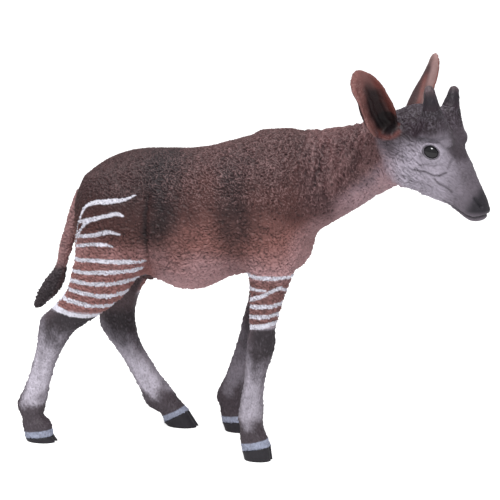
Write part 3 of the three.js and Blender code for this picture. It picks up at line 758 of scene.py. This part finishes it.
def on_ear(side):
    """The rows of OnEar for one ear, 0 away from it."""
    along, wide, opening = ear_axes(side)
    rel = inhead - np.array([EAR[1][0], EAR[1][1] * side, EAR[1][2]])
    up = rel @ along
    near = (hy * side > 5.0) & (up > -2.5) & (hz > 2.5) & (hx < 9.5) & (hx > -3)
    facing = normal @ HEAD_TURN @ opening
    cup = 1.6 * ramp(facing, 0.2, 0.7) * (hx < 8) * (np.abs(rel @ wide) < 2.6)
    across = rel @ wide * -side + EAR_LAG * ramp(-up, -11.0, -1.5)
    bottom = np.linalg.norm(rel + 0.8 * opening - 0.9 * along, axis=1)
    open_side = near * ramp(facing, -0.3, 0.1)
    pit = ramp(-bottom, -3.1, -2.1) * open_side
    lip = bell(bottom, 3.2, 0.55) * ramp(-up, -1.0, 0.5) * ramp(-across, -2.6, -1.4) * open_side
    rows = [ramp(up + cup, -0.4, 2.0), facing, across, up, rel @ opening, pit, lip]
    return np.where(near, rows, 0.0)


legs = {name: on_leg(name) for name in LEGS}
ear = OnEar(*(on_ear(-1) + on_ear(1)))
on_head = ramp(hx + 0.35 * hz, 1.0, 5.5) * ramp(x, 26, 30)
muzzle = on_head * ramp(hx - 0.6 * hz, 25.5, 30.0)
brow = on_head * ramp(hz, 2.5, 5.5)
tail = ramp(-x, 42.3, 43.6) * ramp(-np.abs(y + 0.4), -3.6, -2.8) * ramp(z, 27.0, 27.6) * (z < 57)
tuft = tail * ramp(-z, -40.5, -37.5)
outside = np.abs(y) > 5
lower = ramp(-(z + 3.0 * noise(smooth * 0.12)), -60.0, -50.0) * (1 - 0.7 * ramp(x, 10.0, 16.0))
joints = [(leg, MARKS[name][0]) for name, leg in legs.items()]
legs_low = np.max([leg.share * ramp(leg.row, start - 0.6, start + 0.6) for leg, start in joints], axis=0)

# The moulded hair, as noise drawn out along the way it lies
warp = np.stack([noise(smooth * 0.55 + shift) for shift in (3.1, 17.7, 41.3)], -1)
bent = smooth + 0.35 * warp


def ridges(scale, shift=0.0):
    """Distance from a fold of the noise, about 0 to 1."""
    return np.abs(noise(bent * np.array(scale) + shift))


worm = 1 - ridges((1.35, 1.55, 1.75)) * 2.8
fine_worm = 1 - ridges(2.3, 9.0) * 2.6
crimp = 1 - ridges((1.9, 1.6, 1.1), 60.0) * 2.8
large_tuft = np.minimum(1.9 * ridges((0.85, 1.5, 1.65), 5.0), 0.95)
small_tuft = np.minimum(2.0 * ridges((1.5, 2.6, 3.0), 25.0), 0.9)
hair_leg = ridges((1.9, 1.9, 0.9), 13.0) * 2.4 - 0.5
# Hair on the cheeks slopes down and back
c, s = math.cos(HAIR_TILT), math.sin(HAIR_TILT)
stroke = np.stack([(hx * c + hz * s) * 0.75, hy * 1.6, (hz * c - hx * s) * 1.9], -1)
hair_cheek = np.abs(noise(stroke + 0.5 * warp)) * 2.6 - 0.6
hair_brow = noise(inhead * (2.4, 2.6, 0.8) + 0.5 * warp + 31.0)
fold_at = np.stack([x * 0.46 - z * 0.1, y * 0.12, z * 0.07], -1)
pleat = 1 - 2.6 * np.abs(noise(fold_at + 19.0))
pleat = pleat * ramp(x, 9.0, 13.0) * (1 - on_head) * ramp(z, 57.0, 62.0)

# The grain all over, about -1 to 1
neck = ramp(x, 8.0, 14.0)
grain_top = 0.65 * worm + 0.35 * fine_worm
grain_top = grain_top * (1 - 0.7 * neck) + 0.7 * neck * crimp
grain_low = large_tuft + 0.7 * small_tuft - 0.82 + 0.15 * fine_worm
grain_body = grain_top * (1 - lower) + grain_low * lower
grain_head = hair_cheek * (1 - brow) + (0.5 * hair_brow + 0.4 * worm) * brow
grain_head = grain_head * on_head * np.maximum(0.5 + 0.95 * ramp(-hx, -15.0, -8.0), 1.35 * brow)
grain = grain_body * (1 - on_head) * (1 - legs_low) + grain_head + hair_leg * legs_low * 0.85


# Sculpted forms, in millimetres out of the surface
def sculpt_eye(side):
    """Sinks an eye's socket between its lids. Returns the rows of AtEye."""
    turn, slant = math.radians(-EYE["turn"] * side), math.radians(EYE["slant"])
    rel = inhead - np.array([EYE["x"], EYE["y"] * side, EYE["z"]])
    level = rel[:, 0] * math.cos(turn) + rel[:, 1] * math.sin(turn)
    u = level * math.cos(slant) - rel[:, 2] * math.sin(slant)
    v = rel[:, 2] * math.cos(slant) + level * math.sin(slant)
    ring = np.sqrt((u / EYE["long"]) ** 2 + (v / EYE["high"]) ** 2)
    beside = (np.abs(rel).max(axis=1) < 5) & (hy * side > 2.5)
    height[:] += beside * (0.24 * bell(ring, 1.18, 0.17) - 0.16 * bell(ring, 1.62, 0.2))
    height[:] -= beside * 0.9 * ramp(-ring, -1.0, -0.75)
    rows = [ramp(-ring, -1.02, -0.82), bell(ring, 1.16, 0.16), bell(ring, 1.0, 0.07), ramp(-ring, -2.0, -1.3)]
    return beside * np.array(rows)


height = np.zeros(len(x))
# The mouth, and the lips over and under it
mouth = on_head * groove(flat_head, MOUTH, 0.24)
upper, under = (groove(flat_head, [(a, b + rise) for a, b in MOUTH[1:]], 0.5) for rise in (0.8, -0.7))
height += -0.34 * mouth + on_head * (0.1 * upper + 0.16 * under)
# Folds of the cheeks
cheeks = on_head * (np.abs(hy) > 2.2)
folds = np.zeros(len(x))
for line, width, depth in FOLDS:
    mark = groove(flat_head, line, width) * cheeks
    lifted = groove(flat_head, [(a, b + width * 1.9) for a, b in line], width * 1.2) * cheeks
    height += -depth * mark + depth * 0.6 * lifted
    folds = np.maximum(folds, mark * depth / 0.24)
eyes = AtEye(*np.maximum(sculpt_eye(-1), sculpt_eye(1)))
nostril = np.maximum(*(groove(inhead, [(a, b * side, c) for a, b, c in NOSTRIL], 0.42) for side in (-1, 1)))
height -= 0.65 * nostril * on_head
# The flank's crease, the hollow behind the shoulder and the neck's folds
height -= 0.55 * groove(flat_side, CREASE, 0.9) * outside
height += 0.25 * groove(flat_side, [(a + 2.0, b) for a, b in CREASE], 1.2) * outside
height -= 0.5 * groove(flat_side, SHOULDER_HOLLOW, 2.4) * outside
for top, bottom in NECK_FOLDS:
    wave = groove(flat_side, [(top, 70.0), (bottom, 59.0)], 0.75)
    height -= 0.26 * wave * (1 - on_head) * (z > 50)
# A furrow down each shank
tendon = np.zeros(len(x))
for name, leg in legs.items():
    last = 15.0 if is_hind(name) else 13.5
    reach = ramp(leg.row, 9.5, 11.0) * ramp(-leg.row, -last, -last + 1.5)
    tendon += leg.share * reach * bell(leg.across, -0.22, 0.2)
height -= 0.2 * tendon * ramp(np.abs(normal[:, 1]), 0.3, 0.8)
# The hair, the ears' ribs, the tail's tuft and the neck's pleats
amount = HAIR_DEPTH * (1 + 0.4 * lower * (1 - legs_low) * (1 - tail))
amount = amount * (1 - 0.75 * muzzle) * (1 - 0.4 * legs_low) * (1 - 0.4 * on_head)
amount *= (1 - 0.75 * ear.share) * (1 - 0.9 * eyes.hole) * (1 - 0.8 * eyes.lid) * (1 - 0.85 * ear.pit)
ribs = ear.share * ramp(ear.facing, 0.1, 0.5) * np.cos(ear.across * 5.5 + 1.5 * noise(inhead * 0.4))
height += amount * grain + 0.06 * ribs
height += tuft * (0.24 * noise(smooth @ TUFT_HAIR.T))
height += 0.09 * noise(smooth * 0.33 + 71.0) * (1 - on_head)
height += 0.26 * pleat
place = smooth + normal * height[:, None]
place[:, 2] = np.maximum(place[:, 2], GROUND + 0.15)

# Paint
paint = np.tile(PAINT["back"], (len(x), 1))
cloud = noise(place * 0.16 + 2.0)
small_cloud = noise(place * 0.4 + 12.0)
speck = noise(place * 2.2 + 50.0)
crack = noise(place * 3.0 + 80.0)


def lay(name, share):
    """Brushes one paint over what is there."""
    share = np.clip(share, 0, 1)[:, None]
    paint[:] = paint * (1 - share) + PAINT[name] * share


def paint_body():
    """Trunk, neck and tail, dark above and pale below."""
    rump = ramp(-x, 15.0, 24.0)
    throat = z - 0.72 * (x - 20) + 2 * cloud
    lay("mid", ramp(-(z + 4 * cloud + 5 * rump), -66.0, -58.0) * 0.9)
    lay("flank", ramp(-(z + 4 * cloud + 5 * rump), -57.0, -47.0) * 0.95)
    lay("belly", ramp(-(z + 3 * cloud), -49.0, -39.5) * 0.8)
    lay("neck", ramp(x, 10.0, 16.0) * (1 - on_head))
    lay("throat", ramp(x, 16.0, 28.0) * ramp(-throat, -62.0, -56.0) * 0.6)
    lay("belly", ramp(x, 9.0, 12.0) * ramp(-throat, -59.0, -54.0) * 0.42)
    blurred = flat_side + 0.8 * small_cloud[:, None] + 2.4 * cloud[:, None]
    for line, width, share in DARK_CLOUDS:
        lay("dark", groove(blurred, line, width) * share * (0.35 + 0.65 * ramp(z, 42.0, 53.0)))
    # The flank's crease darkened: its dark paint together with painted shade in the crease.
    lay("dark", groove(flat_side + 0.3 * small_cloud[:, None], CREASE, 0.5) * outside * 0.8)
    lay("dark", ramp(-x, 12.0, 32.0) * ramp(z, 49.0, 56.0) * 0.48)
    # Painted highlight on the crests of the neck's pleats, and painted shade in their hollows.
    lay("crest_highlight", ramp(pleat, 0.3, 0.9) * 0.12)
    lay("dark", ramp(-pleat, 0.0, 0.9) * 0.36)
    lay("tail", tail)
    lay("tuft", tuft)


def paint_leg(name):
    """Brown above, then a dark joint, a pale shank and a dark fetlock."""
    row, across, share, outer = legs[name]
    start, fade, pale, darker, dark = MARKS[name]
    upper = ramp(row, 2.0, 4.5) if is_hind(name) else ramp(row, 2.6, 3.6)
    lay("thigh" if is_hind(name) else "fore", share * upper * 0.9 * outer)
    lay("shank", share * ramp(row, start - 0.3, start + 0.1))
    below = share * ramp(row, start - 0.1, start + 0.3)
    lay("nose", below * ramp(np.abs(across - 0.05) + 0.25 * small_cloud, 0.45, 1.05) * 0.6)
    # Grey over the shank; on the far front leg it is painted shade.
    lay("nose", below * SHANK_GREY_AND_SHADE[name])
    mottled = row + 0.8 * small_cloud + 0.4 * speck + 1.1 * ramp(-across, 0.0, 1.0)
    lay("nose", below * ramp(-mottled, -pale - 1.6, -fade) * 0.85)
    lay("inner", share * ramp(row, 1.5, 2.5) * (1 - outer) * ramp(-mottled, -fade - 0.5, -fade + 1.2))
    lay("inner", below * ramp(-mottled, -fade - 1.0, -fade + 0.5) * 0.7)
    patch = ramp(-mottled - 0.5 * hair_leg, -pale - 0.6, -fade + 0.7) * ramp(across, -1.3, -0.1)
    if name == "hind_left":
        patch *= ramp(row, 6.8, 8.2)
    lay("joint", below * patch * 0.9)
    lay("fetlock", share * ramp(mottled + 0.5 * across, darker, dark) * 0.95)


def stripe_path(name, stripe):
    """A stripe's points on a leg's side and their half widths."""
    first, again, scale = STRIPE_ROWS[name]
    table = leg_table(name)
    path, widths = [], []
    for row, across, width in curve(stripe, 6):
        row = again + (row - first) * scale if row > first or not is_hind(name) else row
        k = min(max(row * LEG_STEPS, 0), len(table) - 1.001)
        low = int(k)
        station = table[low] + (table[low + 1] - table[low]) * (k - low)
        back, front = station[:2], station[2:4]
        path.append(((back + front) / 2 + (front - back) / 2 * across).tolist())
        widths.append(width + 0.02)
    return path, np.array(widths)


def paint_stripes(name):
    """White stripes on a leg's outer side, worn at their edges. Returns their share."""
    side = side_of(name)
    end = (x < STRIPES_BEHIND) if is_hind(name) else (x > STRIPES_BEHIND)
    zone = np.flatnonzero(((y < 0) == (side < 0)) & end & (z > 24))
    shown = ramp(-normal[:, 1], -0.45, -0.2) if side < 0 else ramp(normal[:, 1], 0.05, 0.3)
    wave = flat_side[zone] + 0.16 * small_cloud[zone, None]
    white = np.zeros(len(x))
    for stripe in HIND_STRIPES if is_hind(name) else FORE_STRIPES:
        gap = to_line(wave, *stripe_path(name, stripe))
        gap = gap + 0.13 * speck[zone] + 0.1 * np.maximum(-crack[zone], 0)
        white[zone] = np.maximum(white[zone], shown[zone] * ramp(-gap, -0.1, 0.1))
    white *= 1 - 0.8 * ramp(-crack, 0.45, 0.62)
    lay("white", white)
    return white


def paint_band(name):
    """The pale band over a hoof."""
    top, _, middle = HOOVES[name]
    heel, toe = np.array(top[:2]), np.array(top[2:])
    level = heel[1] + (x - heel[0]) * (toe[1] - heel[1]) / (toe[0] - heel[0])
    over = z - level + 0.12 * small_cloud
    here = (np.abs(x - (heel[0] + toe[0]) / 2) < 6) & (z < 6) & (np.abs(y - middle) < 4)
    lay("band", here * ramp(-over, -BAND_HIGH[name] - 0.1, -BAND_HIGH[name] + 0.1))


def paint_crown():
    """Dark over the skull and round the horns, down to the brow."""
    high = hz + cloud + 1.8 * ramp(-hx, -13.5, -10.5)
    lay("nose", on_head * ramp(high, 1.8, 4.4) * 0.45)
    lay("crown", on_head * ramp(high, 3.6, 6.4))
    for side in SIDES.values():
        axis = np.array([HORN_ROOTS[side], HORN_TIPS[side]]) * (1, side, 1)
        gap = to_line(inhead, axis)
        lay("crown", on_head * ramp(-gap, -5.4, -3.2) * ramp(hz + cloud + 0.8 * hair_brow, 2.6, 6.0))
        lay("joint", on_head * ramp(hz, 6.6, 8.6) * ramp(-gap, -4.0, -2.6) * 0.8)
    lay("crown", on_head * ramp(-hx, -10.0, -5.0) * ramp(hz + cloud, -3.5, 1.5) * 0.85)


def paint_face():
    """Greys along the bridge of the nose, a dark muzzle, mouth and nostrils, and the eyes' rims."""
    bridge = on_head * ramp(hx + 0.6 * hz + 0.5 * cloud, 15.0, 18.0)
    lay("nose", bridge * ramp(-np.abs(hy), -4.4, -2.6) * 0.85)
    lay("nose", on_head * ramp(hx, 15.5, 18.5) * 0.42)
    middle = ramp(-np.abs(hy) + 0.4 * small_cloud, -4.4, -2.0)
    lay("crown", on_head * middle * ramp(hz, -3.0, 3.0) * ramp(hx, 12.5, 15.0) * 0.62)
    gap = to_line(inhead, BROW_LINE) + 0.7 * small_cloud + 0.4 * hair_brow
    lay("crown", on_head * ramp(-gap, -5.4, -3.4) * 0.7)
    lay("nose", on_head * np.exp(-(((hx - 17.6) / 2.2) ** 2) - ((hz - 2.8) / 2.4) ** 2) * 0.35)
    snout = hx - 0.45 * hz
    lay("nose", on_head * ramp(snout, 19.5, 26.0) * 0.75)
    lay("muzzle", on_head * ramp(snout + 0.6 * small_cloud, 25.6, 28.4) * ramp(hz, -13.2, -11.9) * 0.95)
    lay("muzzle", mouth * 0.85)
    lay("muzzle", nostril * on_head)
    lay("shank", eyes.around * (1 - 0.8 * brow) * 0.3)
    lay("dark", folds * 0.55 * on_head)
    lay("dark", eyes.hole)
    lay("head", 0.6 * eyes.lid)
    lay("muzzle", eyes.lash * 0.8)


def paint_ears():
    """Dark behind, with a red rim round a speckled inside and a dark cup."""
    lay("ear_back", ear.share)
    lay("ear_tip", ear.share * ramp(ear.along, 13.0, 17.5) * 0.45)
    lay("ear_tip", ear.share * (hy > 0) * ramp(ear.depth + 0.3 * small_cloud, -1.3, -0.3) * 0.4)
    inner = ear.share * ramp(ear.facing, -0.15, 0.25)
    lay("ear", inner)
    spots = inner * ramp(noise(inhead * 2.6 + 91.0), 0.1, 0.45)
    lay("ear_tip", spots * ramp(-ear.across, -1.0, 1.0) * np.where(hy > 0, 0.12, 0.45))
    lay("ear_rim", inner * ramp(ear.across + 0.4 * small_cloud, 1.6, 2.8))
    far_rim = bell(ear.depth, -1.5, 0.55) * ramp(-ear.along, -13.0, -8.0)
    lay("ear_rim", ear.share * (hy > 0) * far_rim * 0.8)
    lay("dark", inner * ramp(-ear.along, -5.0, 0.0) * 0.3)
    cup = np.sqrt(((ear.across - 0.5) / 2.5) ** 2 + ((ear.along - 5.0) / 9.6) ** 2) + 0.12 * small_cloud
    lay("ear_deep", inner * ramp(-cup, -1.2, -0.5) * ramp(ear.facing, 0.0, 0.5) * 0.93)


def paint_relief(striped):
    """Painted shade in the hollows of the grain and painted highlights on its crests."""
    relief = np.clip(grain, -1.2, 1.0)
    hollow = ramp(-relief, -0.1, 0.6) * (1 - ear.share) * (1 - muzzle)
    broken = 0.4 + 0.6 * ramp(noise(place * 1.3 + 33.0), -0.25, 0.3)
    strong = 0.6 + 0.12 * lower - 0.02 * on_head - 0.2 * legs_low
    # Painted shade: dark laid in the grain's hollows.
    lay("dark", hollow * broken * strong * (1 - 0.6 * striped))
    crest = ramp(relief, 0.45, 0.95) * (1 - on_head) * (1 - ear.share) * (1 - striped) * (1 - tuft)
    # Painted highlight: pale paint laid on the crests of the body's grain.
    lay("crest_highlight", crest * (1 - legs_low) * (0.42 - 0.2 * lower) * (1 - 0.5 * ramp(-x, 10.0, 26.0)))
    # Painted highlight: grey laid on the crests of the lower legs' hair.
    lay("nose", crest * legs_low * 0.4)
    # Painted highlight: the pale head tone laid on the crests of the brow's hair.
    lay("head", ramp(relief, 0.2, 0.7) * brow * (1 - ear.share) * 0.16)
    lay("ear_deep", ear.pit * 0.92)
    lay("ear_rim", ear.lip * 0.75)
    lay("dark", ramp(-crack, 0.45, 0.7) * 0.35 * (1 - ear.share) * (1 - 0.7 * on_head))
    paint[:] = paint * (1 + 0.1 * small_cloud + 0.1 * noise(place * 0.85 + 44.0))[:, None]


def paint_coat():
    paint_body()
    striped = np.zeros(len(x))
    for name in LEGS:
        paint_leg(name)
        striped = np.maximum(striped, paint_stripes(name))
        paint_band(name)
    nub = np.linalg.norm(place - np.array(NUB_DARK), axis=1)
    lay("joint", ramp(-nub, -3.2, -1.8) * 0.7 * (y > -4))
    lay("head", on_head)
    lay("throat", on_head * ramp(-hx, -9.0, -3.0) * 0.6)
    paint_crown()
    paint_face()
    paint_ears()
    paint_relief(striped)


# Materials
def wire(node, inputs):
    """Sets a shader node's inputs to values, or links them to other nodes' outputs."""
    for name, value in inputs.items():
        if isinstance(value, bpy.types.NodeSocket):
            node.id_data.links.new(value, node.inputs[name])
        else:
            node.inputs[name].default_value = value
    return node


def add_node(tree, kind, inputs):
    return wire(tree.nodes.new(f"ShaderNode{kind}"), inputs)


def camera_ray(tree):
    """1 for what the camera sees itself, 0 for what lights the figure."""
    return tree.nodes.new("ShaderNodeLightPath").outputs["Is Camera Ray"]


def vinyl(name, colour=None, roughness=0.5, grain_size=0.0, mottle=0.12, shine=0.3):
    """Painted vinyl, mottled, with a fine bump. Without a colour it shows the mesh's own paint."""
    made = bpy.data.materials.new(name)
    made.use_nodes = True
    tree = made.node_tree
    spot = tree.nodes.new("ShaderNodeTexCoord").outputs["Object"]
    blotch = add_node(tree, "TexNoise", {"Scale": BLOTCH_SCALE, "Detail": 4, "Vector": spot}).outputs["Fac"]
    span = add_node(tree, "MapRange", {"To Min": 1 - mottle, "To Max": 1 + mottle, "Value": blotch})
    if colour is None:
        source = tree.nodes.new("ShaderNodeAttribute")
        source.attribute_name = "paint"
    else:
        source = tree.nodes.new("ShaderNodeRGB")
        source.outputs["Color"].default_value = (*colour, 1)
    scaled = tree.nodes.new("ShaderNodeVectorMath")
    scaled.operation = "SCALE"
    wire(scaled, {0: source.outputs["Color"], "Scale": span.outputs["Result"]})
    rough = {"To Min": roughness - 0.08, "To Max": roughness + 0.08, "Value": blotch}
    rough = add_node(tree, "MapRange", rough).outputs["Result"]
    look = {"Base Color": scaled.outputs["Vector"], "Roughness": rough, "Specular IOR Level": shine}
    if grain_size:
        pits = add_node(tree, "TexNoise", {"Scale": grain_size, "Detail": 3, "Vector": spot}).outputs["Fac"]
        bump = add_node(tree, "Bump", {"Strength": BUMP_STRENGTH, "Distance": BUMP_DEPTH, "Height": pits})
        look["Normal"] = bump.outputs["Normal"]
    wire(tree.nodes["Principled BSDF"], look)
    return made


# The pieces, each with the solids that it stands for
FLESH = ["torso", "neck", "head", "ear_right", "ear_left", "tail", "tail_tuft"]
for name in LEGS:
    FLESH += [f"{name}_{'thigh' if is_hind(name) else 'forearm'}", f"{name}_shank"]


def make_coat():
    """The one skin over trunk, neck, head, ears, tail and legs."""
    coat = mesh_object("coat", place, faces)
    set_paint(coat.data, paint)
    coat.data.materials.append(vinyl("coat_paint", grain_size=1800))
    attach(coat, "root")
    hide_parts(*FLESH)


def make_eye(word, side):
    """A glossy globe between the lids, longer than high, slanted and turned with the socket."""
    lat, lon = np.linspace(0, np.pi, 25), np.linspace(0, 2 * np.pi, 40, endpoint=False)
    lat, lon = np.meshgrid(lat, lon, indexing="ij")
    globe = np.stack([np.cos(lat), np.sin(lat) * np.cos(lon), np.sin(lat) * np.sin(lon)], -1)
    globe = globe * np.array([EYE["long"] * 1.04, EYE["deep"], EYE["high"] * 1.04])
    slant, turn = math.radians(EYE["slant"]), math.radians(-EYE["turn"] * side)
    gx = globe[..., 0] * math.cos(slant) + globe[..., 2] * math.sin(slant)
    gz = globe[..., 2] * math.cos(slant) - globe[..., 0] * math.sin(slant)
    gy = globe[..., 1]
    gx, gy = gx * math.cos(turn) - gy * math.sin(turn), gy * math.cos(turn) + gx * math.sin(turn)
    loops = np.stack([gx + EYE["x"], gy + (EYE["y"] + 0.05) * side, gz + EYE["z"]], -1)
    points, tris = skin_over(loops[1:-1])
    eye = mesh_object(f"eyeball_{word}", to_body(points), tris)
    gloss = vinyl(f"eye_gloss_{word}", colour=EYE_BLACK, roughness=0.14, mottle=0.3, shine=0.6)
    eye.data.materials.append(gloss)
    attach(eye, "root")
    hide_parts(f"eye_{word}")


def make_horn(word, side):
    """A horn from under its cone of skin to its tip, ridged, and paler at the tip."""
    loops = horn_loops(side, HORN_FROM, 1.0)
    tuck = 1 - HORN_TUCK * ramp(-np.linspace(HORN_FROM, 1.0, len(loops)), -HORN_SKIN, -0.4)
    middle = loops.mean(axis=1, keepdims=True)
    loops = middle + (loops - middle) * tuck[:, None, None]
    spread = loops.reshape(-1, 3)
    out = (loops - loops.mean(axis=1, keepdims=True)).reshape(-1, 3)
    out /= np.linalg.norm(out, axis=1)[:, None]
    ridged = noise(spread * (2.3, 2.3, 0.8) + 7.0) * 0.1 + noise(spread * 0.9 + 3.0) * 0.1
    spread = spread + out * ridged[:, None]
    points, tris = skin_over(spread.reshape(loops.shape))
    horn = mesh_object(f"ossicone_{word}", to_body(points), tris)
    worn = ramp(noise(points * (2.4, 2.4, 0.9) + 3.0), 0.15, 0.6)
    shade = 1 + 0.25 * noise(points * 1.1) + 0.9 * worn
    tip = ramp(points[:, 2], 11.5, 14.5)[:, None]
    base = ramp(-points[:, 2], -11.5, -8.6)[:, None]
    colour = (PAINT["horn"] * (1 - tip) + PAINT["horn_tip"] * tip) * (1 - base) + PAINT["crown"] * base
    set_paint(horn.data, colour * shade[:, None])
    horn.data.materials.append(vinyl(f"horn_paint_{word}", grain_size=2600))
    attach(horn, "root")
    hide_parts(f"horn_{word}")


def make_hoof(name):
    """A hoof with a bevelled top and sole, and a cleft down its front."""
    top, sole, middle = HOOVES[name]
    flat = (sole[0], GROUND, sole[1], GROUND, middle, HOOF_HALF + 0.1)
    first = (*top, middle, HOOF_HALF + 0.06)
    rim = tuple(a + (b - a) * 0.12 for a, b in zip(first, flat))
    inside = (top[0] + 0.5, top[1] + 0.25, top[2] - 0.5, top[3] + 0.25, middle, HOOF_HALF - 0.4)
    edge = (flat[0] + 0.15, GROUND, flat[2] - 0.15, GROUND, middle, HOOF_HALF - 0.1)
    loops = np.concatenate(
        [rings([inside, first], 96, 3), rings([first, rim, flat], 96, 8)[1:], rings([flat, edge], 96, 2)[1:]]
    )
    front = ramp(loops[..., 0], sole[1] - 4.5, sole[1] - 1.5)
    loops[..., 0] -= 1.5 * bell(loops[..., 1], middle, 0.32) * front
    loops[..., 2] = np.maximum(loops[..., 2], GROUND)
    points, tris = skin_over(loops)
    wear = noise(points * (0.8, 0.8, 2.6) + 4.0)
    points[:, 0] += 0.05 * wear * (points[:, 2] > GROUND + 0.05)
    hoof = mesh_object(f"hoof_{name}", points, tris)
    look = {"colour": tuple(PAINT["hoof"]), "roughness": 0.42, "grain_size": 1500, "mottle": 0.3}
    hoof.data.materials.append(vinyl(f"hoof_paint_{name}", **look))
    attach(hoof, "root")
    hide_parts(f"{name}_hoof")


# The photo's view
def look_from(thing, at):
    """Turns a camera or lamp towards the target."""
    thing.location = at
    thing.rotation_euler = Vector(TARGET - np.array(at)).to_track_quat("-Z", "Y").to_euler()
    bpy.context.scene.collection.objects.link(thing)


def make_camera():
    lens = bpy.data.cameras.new("camera")
    lens.sensor_width = 36
    lens.lens = 158.4
    lens.clip_start = 0.01
    camera = bpy.data.objects.new("camera", lens)
    level = math.cos(VIEW_ELEVATION)
    towards = [math.sin(VIEW_AZIMUTH) * level, -math.cos(VIEW_AZIMUTH) * level, math.sin(VIEW_ELEVATION)]
    look_from(camera, TARGET + VIEW_DISTANCE * np.array(towards))
    scene = bpy.context.scene
    scene.camera = camera
    scene.render.resolution_x = scene.render.resolution_y = 500
    scene.render.resolution_percentage = 100
    scene.view_settings.view_transform = "Standard"


def make_floor():
    """A pale floor that glows for the camera alone, so that it shows white."""
    data = bpy.data.meshes.new("floor")
    data.from_pydata([(-3, -3, 0), (3, -3, 0), (3, 3, 0), (-3, 3, 0)], [], [(0, 1, 2, 3)])
    floor = bpy.data.objects.new("floor", data)
    bpy.context.scene.collection.objects.link(floor)
    pale = bpy.data.materials.new("floor_white")
    pale.use_nodes = True
    tree = pale.node_tree
    glow = tree.nodes.new("ShaderNodeMath")
    glow.operation = "MULTIPLY"
    wire(glow, {0: camera_ray(tree), 1: FLOOR_GLOW})
    look = {"Base Color": (0.8, 0.8, 0.8, 1), "Roughness": 0.9, "Emission Color": WHITE}
    wire(tree.nodes["Principled BSDF"], {**look, "Emission Strength": glow.outputs[0]})
    data.materials.append(pale)


def make_world():
    """The camera sees a white room that lights the figure less than it shows."""
    world = bpy.data.worlds.new("studio")
    world.use_nodes = True
    tree = world.node_tree
    soft = wire(tree.nodes["Background"], {"Color": (1, 0.97, 0.99, 1), "Strength": ROOM_LIGHT})
    seen = add_node(tree, "Background", {"Color": WHITE, "Strength": ROOM_SEEN})
    rooms = {1: soft.outputs["Background"], 2: seen.outputs["Background"]}
    mix = add_node(tree, "MixShader", {"Fac": camera_ray(tree), **rooms})
    wire(tree.nodes["World Output"], {"Surface": mix.outputs["Shader"]})
    bpy.context.scene.world = world


def make_lamp(name, at, power, size):
    data = bpy.data.lights.new(name, "AREA")
    data.energy = power
    data.size = size
    look_from(bpy.data.objects.new(name, data), at)


paint_coat()
make_coat()
for word, side in SIDES.items():
    make_eye(word, side)
for word, side in SIDES.items():
    make_horn(word, side)
for name in HOOVES:
    make_hoof(name)
make_camera()
make_floor()
make_world()
for lamp in LAMPS:
    make_lamp(*lamp)
